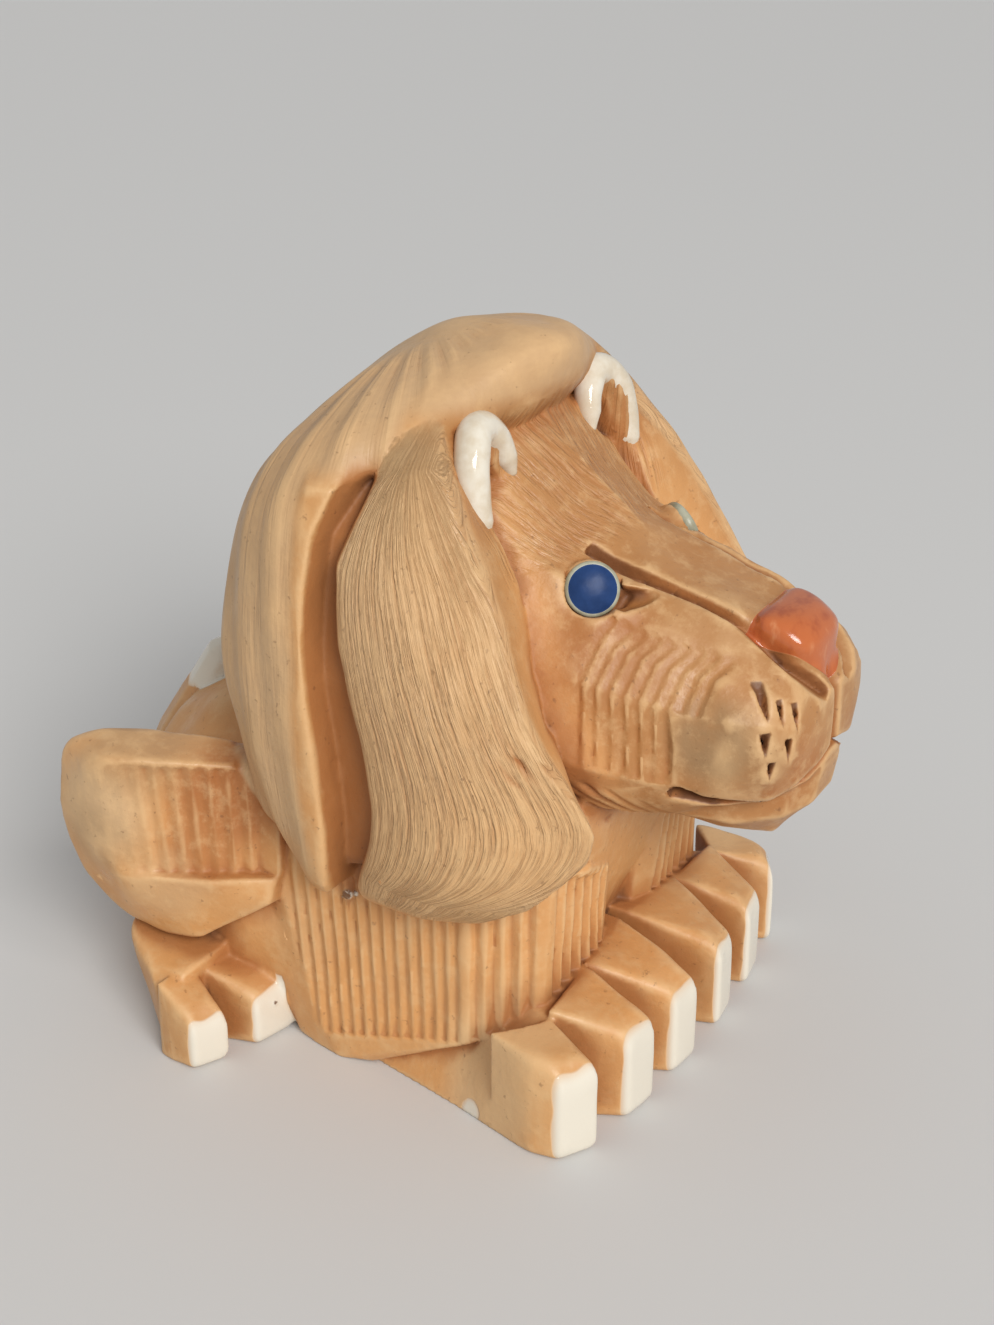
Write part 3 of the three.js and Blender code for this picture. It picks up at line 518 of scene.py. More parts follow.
def on_brow(mm):
    """How much a place belongs to the combed brow between eyes, ears and lock."""
    wide, y, z = mirrored(mm).T
    above_eye = ramp(z + (y + 27) * 0.35, 72.4, 75)
    return above_eye * band(y, -34, -26, -13.5, -11) * (1 - ramp(z, 87, 90)) * (1 - ramp(wide, 21, 24))


def on_jaw(mm):
    """How much a place belongs to the strip of short cuts along the jaw."""
    wide, y, z = mirrored(mm).T
    line = 44.4 - (20 - wide) * 0.65
    return (1 - ramp(np.abs(z - line), 1.4, 2.4)) * band(-y, 25, 28, 37, 40) * ramp(wide, 9, 12)


def line_distance(mm, points):
    """Distance to a line through points, mirrored to both sides."""
    folded = mirrored(mm)
    best = np.full(len(mm), np.inf)
    for a, b in zip(points[:-1], points[1:]):
        a, b = np.array(a[:3], float), np.array(b[:3], float)
        run = b - a
        t = np.clip(((folded - a) @ run) / (run @ run), 0, 1)
        best = np.minimum(best, np.linalg.norm(folded - a - t[:, None] * run, axis=1))
    return best


def spot_distance(mm, at):
    """Distance to a place, mirrored to both sides."""
    return np.linalg.norm(mirrored(mm) - at, axis=1)


def face_cut_shade(mm):
    """How near each place is to a cut of the face, where dark shade is painted."""
    bridge = 0.55 * (1 - ramp(line_distance(mm, BRIDGE_CUT), 0.9, 2))
    head = 1 - ramp(line_distance(mm, BRIDGE_CUT[:2]), 0.6, 2.4)
    corner = 1 - ramp(line_distance(mm, CORNER_CUT), 0.5, 1.6)
    mouth = 1 - ramp(line_distance(mm, MOUTH_CUT), 0.6, 1.6)
    return np.maximum.reduce([bridge, 0.8 * head, corner, mouth])


def soot_share(mm):
    """How much each place is covered by a sooty drop."""
    shares = [1 - np.linalg.norm(mm - at, axis=1) / reach for at, reach in SOOT_DROPS]
    return np.clip(np.max(shares, axis=0), 0, 1)


def toe_field(mm, toes, top, ahead):
    """Millimetres behind the front faces of the toes, growing to the sides, above and ahead."""
    best = np.full(len(mm), np.inf)
    wide, y, z = mirrored(mm).T
    for (ax, ay), (bx, by) in toes:
        run = np.array([bx - ax, by - ay])
        broad = np.hypot(*run)
        run /= broad
        behind = (wide - ax) * run[1] - (y - ay) * run[0]
        beside = (wide - ax) * run[0] + (y - ay) * run[1]
        outside = np.maximum(-beside, beside - broad)
        field = np.maximum.reduce([behind, outside - 0.6, (z - top) * 0.8, 1.4 - 2 * ahead - 2 * behind])
        best = np.minimum(best, field)
    return best


def prick_field(mm):
    """Millimetres outside the three-cornered whisker pricks, negative in them."""
    best = np.full(len(mm), 5.0)
    wide, y, z = mirrored(mm).T
    for px, py, pz, broad, high in PRICKS:
        rise = (z - pz) / high
        aside = np.abs((wide - px) * 0.78 + (y - py) * 0.62)
        off = np.abs((wide - px) * 0.62 - (y - py) * 0.78) - 2.5
        half = 0.42 * broad * (rise + 0.6) / 1.15
        best = np.minimum(best, np.maximum.reduce([aside - half, (rise - 0.55) * high, off]))
    return best


def crescent(mm):
    """How much a place belongs to the crescent groove between front lock and hood, which is painted dark with
    staining and painted shadow.
    """
    wide, y, z = mirrored(mm).T
    table = np.array(LOCK_EDGES)
    rear = np.interp(z, table[:, 0], table[:, 2])
    lip = np.interp(z, *np.array(HOOD_LIP).T)
    sunk = 1 - ramp(wide, lip - 1.7, lip - 0.5)
    between = ramp(y - rear, -0.1, 0.5) * (1 - ramp(y, -0.3, 0.6))
    return between * sunk * band(z, 27, 30, 84, 88) * ramp(wide, 14, 20)


def white_field(mm):
    """Millimetres outside the white glaze, negative under it."""
    front = toe_field(mm, FRONT_TOES, FRONT_WHITE_TOP, 1.5) - WHITE_BACK
    hind = toe_field(mm, HIND_TOES, HIND_WHITE_TOP, 0.5) - WHITE_BACK
    tail = np.maximum(line_distance(mm, TAIL_TIP) - TAIL_WHITE_R, TAIL_WHITE_Z - mm[:, 2])
    smear = spot_distance(mm, SMEAR_AT) - SMEAR_R
    return np.minimum.reduce([front, hind, tail, smear])


def nose_field(mm):
    """Millimetres outside the nose glaze, negative under it."""
    wide, y, z = mirrored(mm).T
    behind = (y - NOSE_BACK) + (z - NOSE_BACK_Z) * 0.25
    below = NOSE_LOW - z + (wide - 3) * 0.9
    return np.maximum.reduce([behind, below, -(y - NOSE_FRONT) - 1.4, wide - NOSE_HALF])


def face_share(mm):
    """How much a place belongs to the darker orange face."""
    table = np.array(LOCK_EDGES)
    front = np.interp(mm[:, 2], table[:, 0], table[:, 1])
    return ramp(front - mm[:, 1], -3, 1) * ramp(mm[:, 2], 35, 38)


def closed_lids(co):
    """Places of the skin with the clay around the eyes drawn in to a proud lid."""
    mm = co / MM
    for side in (-1, 1):
        out = np.array(EYE_OUT) * (side, 1, 1)
        out /= np.linalg.norm(out)
        away = mm - np.array(EYE_AT) * (side, 1, 1)
        high = away @ out
        flat = away - high[:, None] * out
        r = np.maximum(np.linalg.norm(flat, axis=1), 1e-6)
        share = band(r, 3.5, 4.4, 4.9, 7) * band(high, -1.7, -0.4, 3, 5)
        mm = mm + share[:, None] * (out * LID_UP - flat / r[:, None] * LID_IN)
    return mm * MM


def bloom_share(mm):
    """How much greyish bloom lies on each place."""
    lock = on_lock(mm) * (0.45 + 0.35 * ramp(mm[:, 2], 50, 75) * ramp(lock_share(mm), 0.2, 0.7))
    mane = np.maximum.reduce([lock, on_back_mane(mm) * 0.95, on_crown(mm) * 0.8])
    return np.maximum(mane, patched(mm, BLOOM_PATCHES))


def patched(mm, patches):
    """Share of the nearest soft round patch on each place."""
    best = np.zeros(len(mm))
    for at, reach, share in patches:
        best = np.maximum(best, share * (1 - ramp(spot_distance(mm, at), reach * 0.35, reach)))
    return best


def rounded_share(mm):
    """Extra softness of toes, ears and nose, as a share of the smoothing."""
    toes = np.minimum(toe_field(mm, FRONT_TOES, 14, 3), toe_field(mm, HIND_TOES, 9, 3))
    wide, y, z = mirrored(mm).T
    thigh = ramp(wide, 27, 30) * ramp(y, 13, 17) * ramp(z, 10, 14)
    return np.maximum.reduce([
        0.1 * (1 - ramp(toes, 2, 6)),
        0.12 * (1 - ramp(line_distance(mm, EAR_RIM), 3.5, 5)),
        0.4 * (1 - ramp(nose_field(mm), 0, 1.2)),
        0.09 * on_lock(mm),
        0.8 * on_back_mane(mm),
        0.6 * on_crown(mm),
        thigh * (0.03 + 0.3 * ramp(y, 25, 32)),
    ])


def broad_share(mm):
    """Share of the long smoothing that the mane takes."""
    return np.maximum.reduce([0.6 * on_back_mane(mm), 0.45 * on_crown(mm), 0.06 * on_lock(mm)])


def shelter(mesh, co, normal, rays):
    """Share of the sky that nearby clay hides from each place."""
    mesh.calc_loop_triangles()
    tri = np.empty(len(mesh.loop_triangles) * 3, dtype=np.int32)
    mesh.loop_triangles.foreach_get("vertices", tri)
    tree = BVHTree.FromPolygons([Vector(p) for p in co], tri.reshape(-1, 3).tolist())
    ways = []
    for k in range(rays):
        rise = math.sqrt((k + 0.5) / rays)
        turn = k * GOLDEN_TURN
        flat = math.sqrt(1 - rise * rise)
        ways.append((flat * math.cos(turn), flat * math.sin(turn), rise))
    aside = np.where(np.abs(normal[:, :1]) < 0.8, [[1.0, 0, 0]], [[0, 1.0, 0]])
    u = np.cross(normal, aside)
    u /= np.linalg.norm(u, axis=1)[:, None]
    v = np.cross(normal, u)
    start = co + normal * SHELTER_LIFT
    hidden = np.zeros(len(co))
    for fu, fv, fn in ways:
        way = u * fu + v * fv + normal * fn
        cast = [tree.ray_cast(p, d, SHELTER_REACH)[3] for p, d in zip(start.tolist(), way.tolist())]
        hidden += np.array([0.0 if d is None else 1 - 0.6 * d / SHELTER_REACH for d in cast])
    return hidden / rays


def store(mesh, name, values):
    """Keeps a number for each vertex."""
    data = mesh.attributes.new(name, "FLOAT", "POINT").data
    data.foreach_set("value", np.asarray(values, dtype=np.float32))


def store_vector(mesh, name, values):
    """Keeps a vector for each vertex."""
    data = mesh.attributes.new(name, "FLOAT_VECTOR", "POINT").data
    data.foreach_set("vector", np.asarray(values, dtype=np.float32).ravel())


# Materials.


class Nodes:
    """Short way to build one material's nodes."""

    def __init__(self, name):
        self.material = bpy.data.materials.new(name)
        self.material.use_nodes = True
        self.tree = self.material.node_tree
        self.shader = self.tree.nodes["Principled BSDF"]

    def add(self, kind, **settings):
        node = self.tree.nodes.new(kind)
        for name, value in settings.items():
            setattr(node, name, value)
        return node

    def link(self, source, target):
        self.tree.links.new(source, target)

    def set(self, socket, value):
        """Links another node's output, or sets a constant."""
        if isinstance(value, bpy.types.NodeSocket):
            self.link(value, socket)
        elif value is not None:
            socket.default_value = value

    def attribute(self, name, output="Fac"):
        node = self.add("ShaderNodeAttribute")
        node.attribute_name = name
        return node.outputs[output]

    def math(self, operation, a, b=None, clamp=False):
        node = self.add("ShaderNodeMath", operation=operation, use_clamp=clamp)
        self.set(node.inputs[0], a)
        self.set(node.inputs[1], b)
        return node.outputs[0]

    def times(self, a, b):
        return self.math("MULTIPLY", a, b)

    def plus(self, a, b, clamp=False):
        return self.math("ADD", a, b, clamp)

    def span(self, value, low, high, to_low=0.0, to_high=1.0):
        """Smooth step of a value between two ends."""
        node = self.add("ShaderNodeMapRange", interpolation_type="SMOOTHSTEP")
        self.set(node.inputs["Value"], value)
        for name, number in (("From Min", low), ("From Max", high), ("To Min", to_low), ("To Max", to_high)):
            node.inputs[name].default_value = number
        return node.outputs["Result"]

    def mix(self, share, a, b):
        """Colour a, going over to colour b by the share."""
        node = self.add("ShaderNodeMix", data_type="RGBA")
        self.set(node.inputs["Factor"], share)
        for name, value in (("A", a), ("B", b)):
            colour = [s for s in node.inputs if s.name == name and s.type == "RGBA"][0]
            self.set(colour, value if isinstance(value, bpy.types.NodeSocket) else (*value, 1))
        return [s for s in node.outputs if s.type == "RGBA"][0]

    def noise(self, vector, scale, detail=3.0, rough=0.5, stretch=None):
        if stretch:
            mapping = self.add("ShaderNodeMapping")
            mapping.inputs["Scale"].default_value = stretch
            self.link(vector, mapping.inputs["Vector"])
            vector = mapping.outputs["Vector"]
        node = self.add("ShaderNodeTexNoise")
        self.link(vector, node.inputs["Vector"])
        node.inputs["Scale"].default_value = scale
        node.inputs["Detail"].default_value = detail
        node.inputs["Roughness"].default_value = rough
        return node.outputs["Fac"]

    def place(self):
        """Place on the figurine, in metres."""
        return self.add("ShaderNodeTexCoord").outputs["Object"]

    def bump(self, height, distance, strength=1.0):
        node = self.add("ShaderNodeBump")
        self.link(height, node.inputs["Height"])
        node.inputs["Distance"].default_value = distance
        node.inputs["Strength"].default_value = strength
        return node.outputs["Normal"]


# Grain of each combed region: name, stretch of the broad strands, stretch of the fine ones.
GRAINS = (("lock", (2.1, 0.1, 1), (5.5, 0.22, 1)), ("back", (0.5, 0.04, 1), (2.2, 0.1, 1)),
          ("brow", (1.3, 0.25, 1), (3.2, 0.5, 1)))


def clay_material(colours):
    """Combed clay with its glazes, darker in the hollows, partly by the clay's own staining and partly by
    painted shade.
    """
    n = Nodes("carved_clay")
    place = n.place()
    speck = n.noise(place, 850, 3, 0.6)
    hidden = n.attribute("shelter")
    dent = n.attribute("dent")
    strand, fine = grains(n)
    # Staining and painted shade in the hollows: concave places, the crescent groove, the strokes of brow and
    # jaw, and places where nearby clay hides the sky.
    marks = n.math("MAXIMUM", n.attribute("crescent"), n.times(n.attribute("scratch"), 0.8))
    carved = n.plus(n.times(n.span(dent, 0.02, 0.22), 0.75), marks)
    hollow_stain_and_shade = n.plus(n.span(hidden, 0.1, 0.42), carved, clamp=True)
    dry = dry_clay(n, colours, place, dent, strand, fine)
    stained_and_shaded = n.mix(n.times(hollow_stain_and_shade, 0.85), dry, colours.stain_and_shade)
    # Darkest painted shade in narrow cuts, whisker pricks, the crescent groove and the cuts of the face.
    deep_stain_and_shade = n.mix(darkest_shade_share(n, hidden, dent), stained_and_shaded, colours.deep_stain_and_shade)
    dots = n.mix(n.times(n.span(speck, 0.64, 0.74), 0.4), deep_stain_and_shade, colours.deep_stain_and_shade)
    colour, glazed = glazed_clay(n, colours, place, speck, dots)
    n.link(colour, n.shader.inputs["Base Color"])
    n.link(roughness(n, place, speck, hollow_stain_and_shade, glazed), n.shader.inputs["Roughness"])
    combed = n.plus(strand, n.times(fine, 0.7))
    pitted = n.plus(n.times(speck, 0.2), n.times(n.noise(place, 420, 3, 0.6), 0.35))
    height = n.times(n.math("SUBTRACT", pitted, combed), n.math("SUBTRACT", 1.0, glazed))
    n.link(n.bump(height, 0.0005, 0.65), n.shader.inputs["Normal"])
    n.shader.inputs["Specular IOR Level"].default_value = 0.4
    return n.material


def dry_clay(n, colours, place, dent, strand, fine):
    """Colour of the bare clay: bloom, rusty patches with painted warm shade, ash, clouds, worn ridges and
    combed strands.
    """
    blotch = n.noise(place, 60, 4, 0.6)
    # Rusty staining and painted warm shade in patches.
    rust_and_shade = n.times(n.attribute("rust_and_shade"), n.span(blotch, 0.2, 0.55, 0.7, 1.0))
    bloom = n.plus(n.attribute("bloom"), n.times(n.math("SUBTRACT", blotch, 0.5), 0.9), clamp=True)
    ash = n.times(n.attribute("ash"), n.span(blotch, 0.25, 0.5))
    light = n.times(n.attribute("light"), n.span(blotch, 0.2, 0.5, 0.5, 1.0))
    mottle = n.times(n.span(n.noise(place, 380, 4, 0.65), 0.45, 0.7), 0.35)
    cloud = n.times(n.span(n.noise(place, 24, 2, 0.5), 0.42, 0.7), 0.35)
    tone = n.mix(rust_and_shade, n.mix(n.attribute("face"), colours.clay, colours.face), colours.stain_and_shade)
    for share, colour in (
        (bloom, colours.pale), (ash, colours.ash), (mottle, colours.worn), (cloud, CLOUD_TONE),
        (n.times(n.span(dent, -0.02, -0.13), 0.5), colours.worn),
        (n.times(n.span(fine, 0.4, 0.9), 0.55), colours.worn),
        (light, colours.worn), (n.times(strand, 0.33), colours.stain_and_shade),
    ):
        tone = n.mix(share, tone, colour)
    return tone


def darkest_shade_share(n, hidden, dent):
    """Share of the darkest painted shade: narrow cuts, whisker pricks, depth of the crescent, cuts of the
    face.
    """
    cut = n.times(n.times(n.span(hidden, 0.35, 0.65), n.span(dent, -0.02, 0.12)), 0.85)
    # Painted shade in the whisker pricks.
    pricked = n.times(n.span(n.attribute("prick_field"), 0.1, -0.2), 0.8)
    shaded = n.times(n.times(n.attribute("crescent"), n.span(hidden, 0.25, 0.65)), 0.55)
    # Painted shade in the cuts of the face, strongest at the upper end beside the bridge.
    shaded_face_cuts = n.times(n.times(n.attribute("face_cut_shade"), n.span(hidden, 0.12, 0.4)), 0.8)
    share = cut
    for other in (pricked, shaded, shaded_face_cuts):
        share = n.math("MAXIMUM", share, other)
    return share


def glazed_clay(n, colours, place, speck, clay):
    """Colour of the clay under white and nose glaze and sooty drops, and the share that is glazed."""
    wander = n.times(n.math("SUBTRACT", n.noise(place, 200, 1, 0.4), 0.5), 1.1)
    white = n.span(n.plus(n.attribute("white_field"), wander), 0.12, -0.12)
    nose = n.span(n.attribute("nose_field"), 0.1, -0.1)
    soot = n.span(n.attribute("soot"), 0.15, 0.5)
    run = n.noise(place, 260, 3, 0.6, stretch=(1, 1.6, 0.7))
    nose_run = n.mix(n.span(run, 0.3, 0.55), NOSE_POOL, colours.nose)
    nose_tone = n.mix(n.span(run, 0.58, 0.8), nose_run, NOSE_THIN)
    white_tone = n.mix(n.span(n.attribute("white_field"), -0.6, 0.3), colours.white, WHITE_THIN)
    drop = n.mix(n.span(speck, 0.5, 0.62), colours.deep_stain_and_shade, colours.white)
    glazes = n.mix(nose, n.mix(white, clay, white_tone), nose_tone)
    glazed = n.math("MAXIMUM", n.math("MAXIMUM", white, nose), soot)
    return n.mix(n.times(soot, 0.85), glazes, drop), glazed


def roughness(n, place, speck, hollow_stain_and_shade, glazed):
    """Dull clay, duller in the cuts, with glossy glaze and small glossy runs."""
    wet = n.span(n.noise(place, 130, 2, 0.5), 0.4, 0.75, 0.52, 0.34)
    gloss = n.span(n.plus(n.attribute("gloss"), n.times(n.math("SUBTRACT", speck, 0.5), 1.6)), 0.35, 0.6)
    dry = n.math("MAXIMUM", wet, n.span(hollow_stain_and_shade, 0.0, 1.0, 0.3, 0.6))
    bare = n.math("SUBTRACT", 1.0, n.math("MAXIMUM", glazed, gloss))
    return n.plus(n.times(dry, bare), n.times(n.math("SUBTRACT", 1.0, bare), 0.12))


def grains(n):
    """Broad and fine strands of the combed regions, each by its own direction and share."""
    strand, fine = 0.0, 0.0
    for name, broad, close in GRAINS:
        comb = n.attribute(f"{name}_comb", "Vector")
        share = n.attribute(f"{name}_grain")
        strand = n.plus(strand, n.times(n.span(n.noise(comb, 1, 3, 0.62, stretch=broad), 0.42, 0.72), share))
        fine = n.plus(fine, n.times(n.noise(comb, 1, 2, 0.6, stretch=close), share))
    return strand, fine


def glaze_material(name, colour, pool_tone, rough=0.1, shine=0.5):
    """Glossy glaze that pools a little darker in places."""
    n = Nodes(name)
    pool = n.span(n.noise(n.place(), 420, 3, 0.55), 0.3, 0.7)
    n.link(n.mix(pool, pool_tone, colour), n.shader.inputs["Base Color"])
    n.shader.inputs["Roughness"].default_value = rough
    n.shader.inputs["Specular IOR Level"].default_value = shine
    n.link(n.bump(n.noise(n.place(), 700, 2, 0.5), 0.00008, 0.5), n.shader.inputs["Normal"])
    return n.material


class LION_OT_carved_clay(bpy.types.Operator):
    """Builds the carved clay skin from the solid, softens it, combs it and paints it."""

    bl_idname = "lion.carved_clay"
    bl_label = "Carved clay"

    def execute(self, context):
        carving = context.scene.lion_carving
        bm = bmesh.new()
        bm.from_mesh(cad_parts["lion_figurine"].data)
        bmesh.ops.remove_doubles(bm, verts=bm.verts, dist=2e-6)
        mesh = bpy.data.meshes.new("carved_clay")
        bm.to_mesh(mesh)
        piece = new_piece("carved_clay", mesh)
        longest = max(high - low for low, high in zip(*SOLID_BOX))
        scale = longest / (carving.skin_step * 2**FULL_DEPTH)
        depth = FULL_DEPTH
        baked(piece, "REMESH", mode="SHARP", octree_depth=depth, scale=scale, sharpness=1.0,
              use_remove_disconnected=False)
        mesh = piece.data
        co, normal, edge = arrays(mesh)
        away = crease_distance(bm, carving.crease_angle, co, carving.crease_room * 4)
        bm.free()
        free = ramp(away, carving.crease_room, carving.crease_room * 3)
        free = np.maximum(free, carving.crease_soft + rounded_share(co / MM))
        rounds = int(carving.soft_rounds / (1))
        co = smoothed(co, edge, rounds, 0.6 * np.minimum(free, 1))
        co = smoothed(co, edge, rounds * 2, broad_share(co / MM))
        put(mesh, closed_lids(co))
        co, normal, edge = arrays(mesh)
        put(mesh, co + normal * self.relief(co, carving)[:, None])
        faces = carving.skin_faces * 1
        baked(piece, "DECIMATE", ratio=min(1, faces / sum(len(p.vertices) - 2 for p in mesh.polygons)))
        piece.data.name = "carved_clay"
        self.keep_fields(piece.data)
        piece.data.materials.clear()
        piece.data.materials.append(clay_material(context.scene.lion_colours))
        piece.data.shade_smooth()
        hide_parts("lion_figurine")
        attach(piece, "root")
        return {"FINISHED"}

    def relief(self, co, carving):
        """Height to add along the normals."""
        mm = co / MM
        z = mm[:, 2]
        strands = streaks(lock_lane(mm), z, STRAND_PITCH, STRAND_WANDER, seed=3)
        height = -carving.strand_depth * strands * on_lock(mm)
        ridges = np.sin((hood_lane(mm) + RIDGE_SWAY * np.sin(z / RIDGE_SWAY_RUN)) / RIDGE_PITCH * 2 * math.pi)
        height += carving.ridge_depth * 0.5 * ridges * on_fan(mm)
        height -= carving.stroke_depth * self.scratches(mm)
        height += UNEVEN_DEPTH * waves(mm, UNEVEN_SIZE, seed=5) * ramp(z, 3, 12)
        height -= PRICK_DEPTH * (1 - ramp(prick_field(mm), -0.5, 0.1))
        height += DROP_HIGH * MM * ramp(soot_share(mm), 0, 0.7)
        return height

    def scratches(self, mm):
        """Depth of the short strokes of brow and jaw, 0 to about 2."""
        y, z = mm[:, 1], mm[:, 2]
        brow = 0.6 * strokes(brow_lane(mm), -y, BROW_PITCH, BROW_LENGTH, seed=4) * on_brow(mm)
        return brow + 2 * strokes(y * 0.8 - z * 0.6, z, JAW_PITCH, JAW_LENGTH, seed=6) * on_jaw(mm)

    def keep_fields(self, mesh):
        """Stores what the paint needs to know at each place."""
        co, normal, edge = arrays(mesh)
        mm = co / MM
        near = smoothed(co, edge, 6)
        hidden = shelter(mesh, co, normal, FEELERS)
        y, z = mm[:, 1], mm[:, 2]
        lock = on_lock(mm)
        brow = on_brow(mm) * (1 - on_back_mane(mm)) * (1 - lock)
        gloss = np.max([1 - spot_distance(mm, at) / reach for at, reach in GLOSS_SPOTS], axis=0)
        store(mesh, "dent", np.einsum("ij,ij->i", near - co, normal) / MM)
        # Share of sky hidden by nearby clay, used to paint staining and shade into the hollows.
        store(mesh, "shelter", smoothed(hidden[:, None], edge, 3)[:, 0])
        store(mesh, "white_field", white_field(mm))
        store(mesh, "nose_field", nose_field(mm))
        store(mesh, "prick_field", prick_field(mm))
        # The crescent groove, painted dark with staining and painted shadow.
        store(mesh, "crescent", crescent(mm))
        store(mesh, "scratch", self.scratches(mm))
        store(mesh, "face", face_share(mm))
        store(mesh, "bloom", bloom_share(mm))
        store(mesh, "ash", patched(mm, ASH_PATCHES))
        # Rusty staining and painted warm shade in patches.
        store(mesh, "rust_and_shade", patched(mm, RUST_AND_SHADE_PATCHES))
        store(mesh, "soot", soot_share(mm))
        store(mesh, "light", np.maximum(lock * 0.35, patched(mm, WORN_PATCHES)))
        # Painted shade in the cuts of the face.
        store(mesh, "face_cut_shade", face_cut_shade(mm))
        store(mesh, "gloss", np.clip(gloss, 0, 1))
        for name, across, along in (
            ("lock", lock_lane(mm), z), ("back", hood_lane(mm), z), ("brow", brow_lane(mm), -y),
        ):
            store_vector(mesh, f"{name}_comb", np.stack([across, along, mm[:, 0] * SIDE_SHIFT], axis=1))
        store(mesh, "lock_grain", lock)
        store(mesh, "back_grain", on_fan(mm) * 0.28)
        store(mesh, "brow_grain", brow * 0.5)


class LION_OT_ear_rims(bpy.types.Operator):
    """Builds the thick white glaze that rolls over each ear's rim."""

    bl_idname = "lion.ear_rims"
    bl_label = "Ear rims"

    def execute(self, context):
        white = context.scene.lion_colours.white
        pool = tuple(tone * share for tone, share in zip(white, WHITE_POOL))
        glaze = glaze_material("ear_glaze", white, pool)
        for side, word in ((-1, "right"), (1, "left")):
            path = bpy.data.curves.new(f"ear_path_{word}", "CURVE")
            path.dimensions = "3D"
            path.bevel_depth = MM
            path.bevel_resolution = 8
            path.resolution_u = 10
            path.use_fill_caps = True
            line = path.splines.new("BEZIER")
            line.bezier_points.add(len(EAR_RIM) - 1)
            for point, (x, y, z, radius) in zip(line.bezier_points, EAR_RIM):
                point.co = Vector((side * x, y, z)) * MM
                point.radius = radius
                point.handle_left_type = "AUTO"
                point.handle_right_type = "AUTO"
            curve = new_piece(f"ear_path_{word}", path)
            mesh = evaluated(curve)
            bpy.data.objects.remove(curve)
            bm = bmesh.new()
            bm.from_mesh(mesh)
            bmesh.ops.remove_doubles(bm, verts=bm.verts, dist=1e-6)
            bmesh.ops.recalc_face_normals(bm, faces=bm.faces)
            bm.to_mesh(mesh)
            bm.free()
            piece = new_piece(f"ear_rim_{word}", mesh)
            mesh.materials.clear()
            mesh.materials.append(glaze)
            mesh.shade_smooth()
            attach(piece, "root")
        return {"FINISHED"}


class LION_OT_eyes(bpy.types.Operator):
    """Builds the blue glazed eyes with their pale rings."""

    bl_idname = "lion.eyes"
    bl_label = "Eyes"

    def execute(self, context):
        colours = context.scene.lion_colours
        ring = glaze_material("eye_ring", colours.eye_ring, RING_POOL, 0.3, 0.3)
        blue = glaze_material("eye_blue", colours.eye, EYE_POOL, 0.3, 0.1)
        for side, word in ((-1, "right"), (1, "left")):
            out = Vector((side * EYE_OUT[0], EYE_OUT[1], EYE_OUT[2])).normalized()
            turn = Vector((0, 0, 1)).rotation_difference(out).to_matrix().to_4x4()
            at = Matrix.Translation((side * EYE_AT[0], EYE_AT[1], EYE_AT[2]))
            bm = bmesh.new()
            section = [bm.verts.new((r, 0, h)) for r, h in EYE_SECTION]
            edges = [bm.edges.new(pair) for pair in zip(section[:-1], section[1:])]
            bmesh.ops.spin(bm, geom=section + edges, cent=(0, 0, 0), axis=(0, 0, 1), angle=math.tau, steps=64,
                           use_merge=True)
            bmesh.ops.remove_doubles(bm, verts=bm.verts, dist=1e-4)
            bmesh.ops.recalc_face_normals(bm, faces=bm.faces)
            for face in bm.faces:
                face.smooth = True
                face.material_index = int(face.calc_center_median().xy.length < EYE_BLUE_R)
            bmesh.ops.transform(bm, matrix=Matrix.Scale(MM, 4) @ at @ turn, verts=bm.verts)
            mesh = bpy.data.meshes.new(f"eye_{word}")
            bm.to_mesh(mesh)
            bm.free()
            piece = new_piece(f"eye_{word}", mesh)
            mesh.materials.append(ring)
            mesh.materials.append(blue)
            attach(piece, "root")
        return {"FINISHED"}


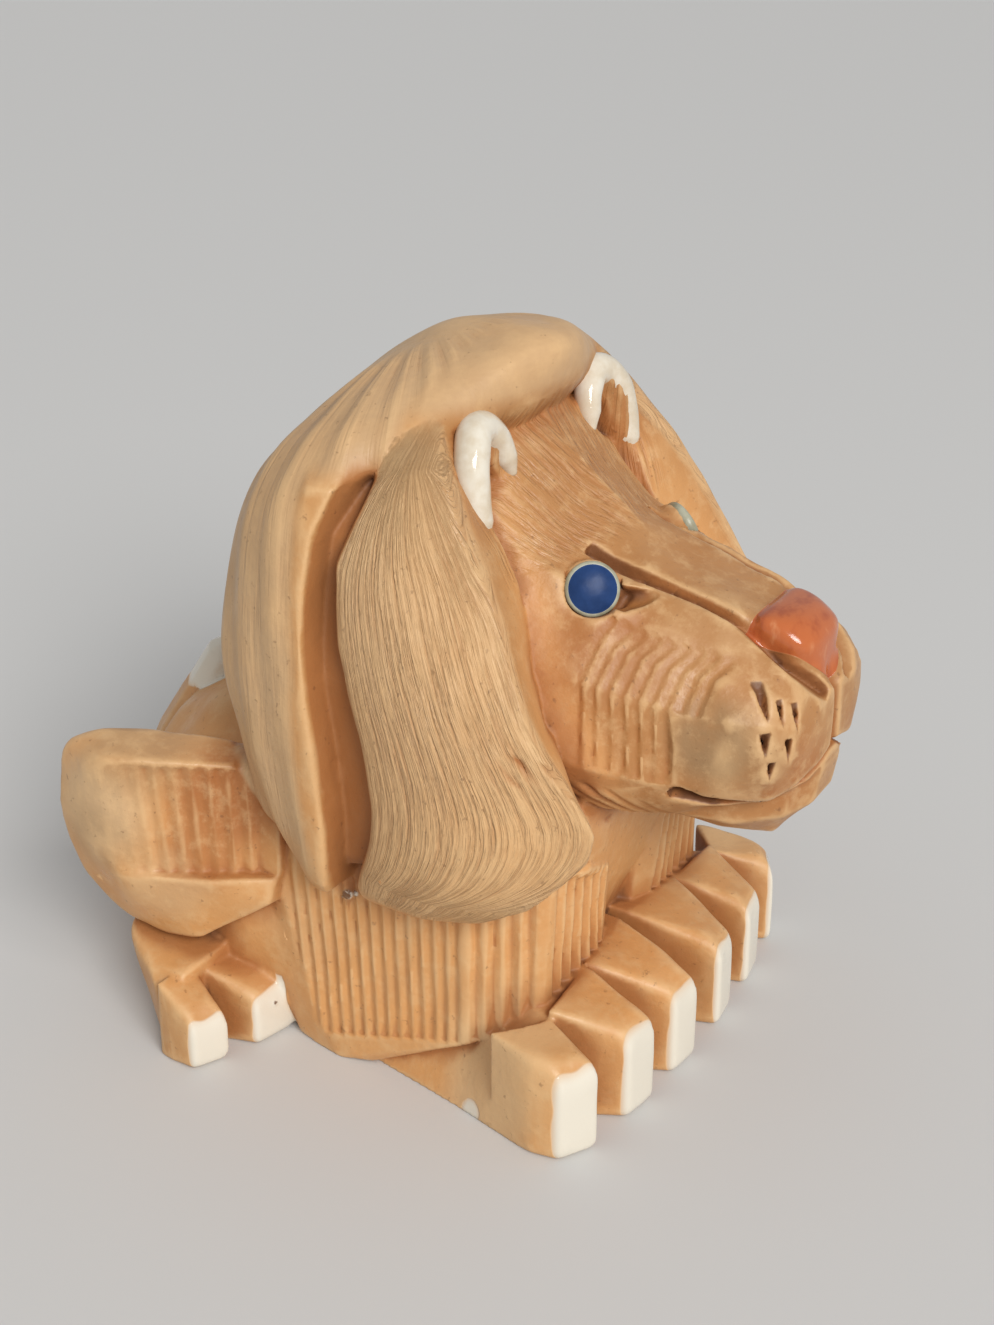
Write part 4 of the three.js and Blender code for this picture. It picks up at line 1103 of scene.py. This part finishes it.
class LION_OT_stage(bpy.types.Operator):
    """Sets the floor, the soft light and the camera."""

    bl_idname = "lion.stage"
    bl_label = "Stage"

    def execute(self, context):
        stage = context.scene.lion_stage
        bm = bmesh.new()
        bmesh.ops.create_grid(bm, x_segments=1, y_segments=1, size=FLOOR_HALF)
        mesh = bpy.data.meshes.new("floor")
        bm.to_mesh(mesh)
        bm.free()
        floor = new_piece("floor", mesh)
        pale = Nodes("floor_paint")
        pale.shader.inputs["Base Color"].default_value = FLOOR_TONE
        pale.shader.inputs["Roughness"].default_value = 0.7
        mesh.materials.append(pale.material)
        self.lamp("key", "SUN", KEY_AT, stage.sun, angle=KEY_SPREAD)
        self.lamp("window", "AREA", WINDOW_AT, WINDOW_POWER, size=WINDOW_SIZE)
        world = bpy.data.worlds.new("studio")
        world.use_nodes = True
        sky = world.node_tree.nodes["Background"].inputs
        sky["Color"].default_value = SKY_TONE
        sky["Strength"].default_value = stage.sky
        context.scene.world = world
        context.scene.view_settings.view_transform = "Standard"
        camera = bpy.data.objects.new("camera", bpy.data.cameras.new("camera"))
        context.scene.collection.objects.link(camera)
        camera.data.lens = stage.lens
        camera.data.sensor_width = 36
        camera.data.clip_start = 0.01
        camera.location = stage.eye
        camera.rotation_euler = (math.pi / 2 - stage.pitch, 0, stage.azimuth)
        context.scene.camera = camera
        return {"FINISHED"}

    def lamp(self, name, kind, at, power, size=None, angle=None):
        """One soft lamp turned to the figurine."""
        light = bpy.data.lights.new(name, kind)
        light.energy = power
        if size:
            light.shape = "DISK"
            light.size = size
        if angle:
            light.angle = angle
        lamp = bpy.data.objects.new(name, light)
        bpy.context.scene.collection.objects.link(lamp)
        lamp.location = at
        lamp.rotation_euler = (Vector(AIM) - Vector(at)).to_track_quat("-Z", "Y").to_euler()


class LION_PT_panel(bpy.types.Panel):
    """Shows the settings of carving, colours and stage, and a button for each step."""

    bl_idname = "LION_PT_panel"
    bl_label = "Lion figurine"
    bl_space_type = "VIEW_3D"
    bl_region_type = "UI"
    bl_category = "Lion"

    def draw(self, context):
        for group in (context.scene.lion_carving, context.scene.lion_colours, context.scene.lion_stage):
            box = self.layout.box()
            for name in group.__annotations__:
                box.prop(group, name)
        for step in STEPS:
            self.layout.operator(step.bl_idname)


STEPS = (LION_OT_carved_clay, LION_OT_ear_rims, LION_OT_eyes, LION_OT_stage)
GROUPS = (("lion_carving", LionCarving), ("lion_colours", LionColours), ("lion_stage", LionStage))


def register():
    for _, group in GROUPS:
        bpy.utils.register_class(group)
    for step in (*STEPS, LION_PT_panel):
        bpy.utils.register_class(step)
    for name, group in GROUPS:
        setattr(bpy.types.Scene, name, PointerProperty(type=group))


def unregister():
    for name, _ in GROUPS:
        delattr(bpy.types.Scene, name)
    for step in (*STEPS, LION_PT_panel):
        bpy.utils.unregister_class(step)
    for _, group in GROUPS:
        bpy.utils.unregister_class(group)


def main():
    register()
    bpy.ops.lion.carved_clay()
    bpy.ops.lion.ear_rims()
    bpy.ops.lion.eyes()
    bpy.ops.lion.stage()


if __name__ == "__main__":
    main()
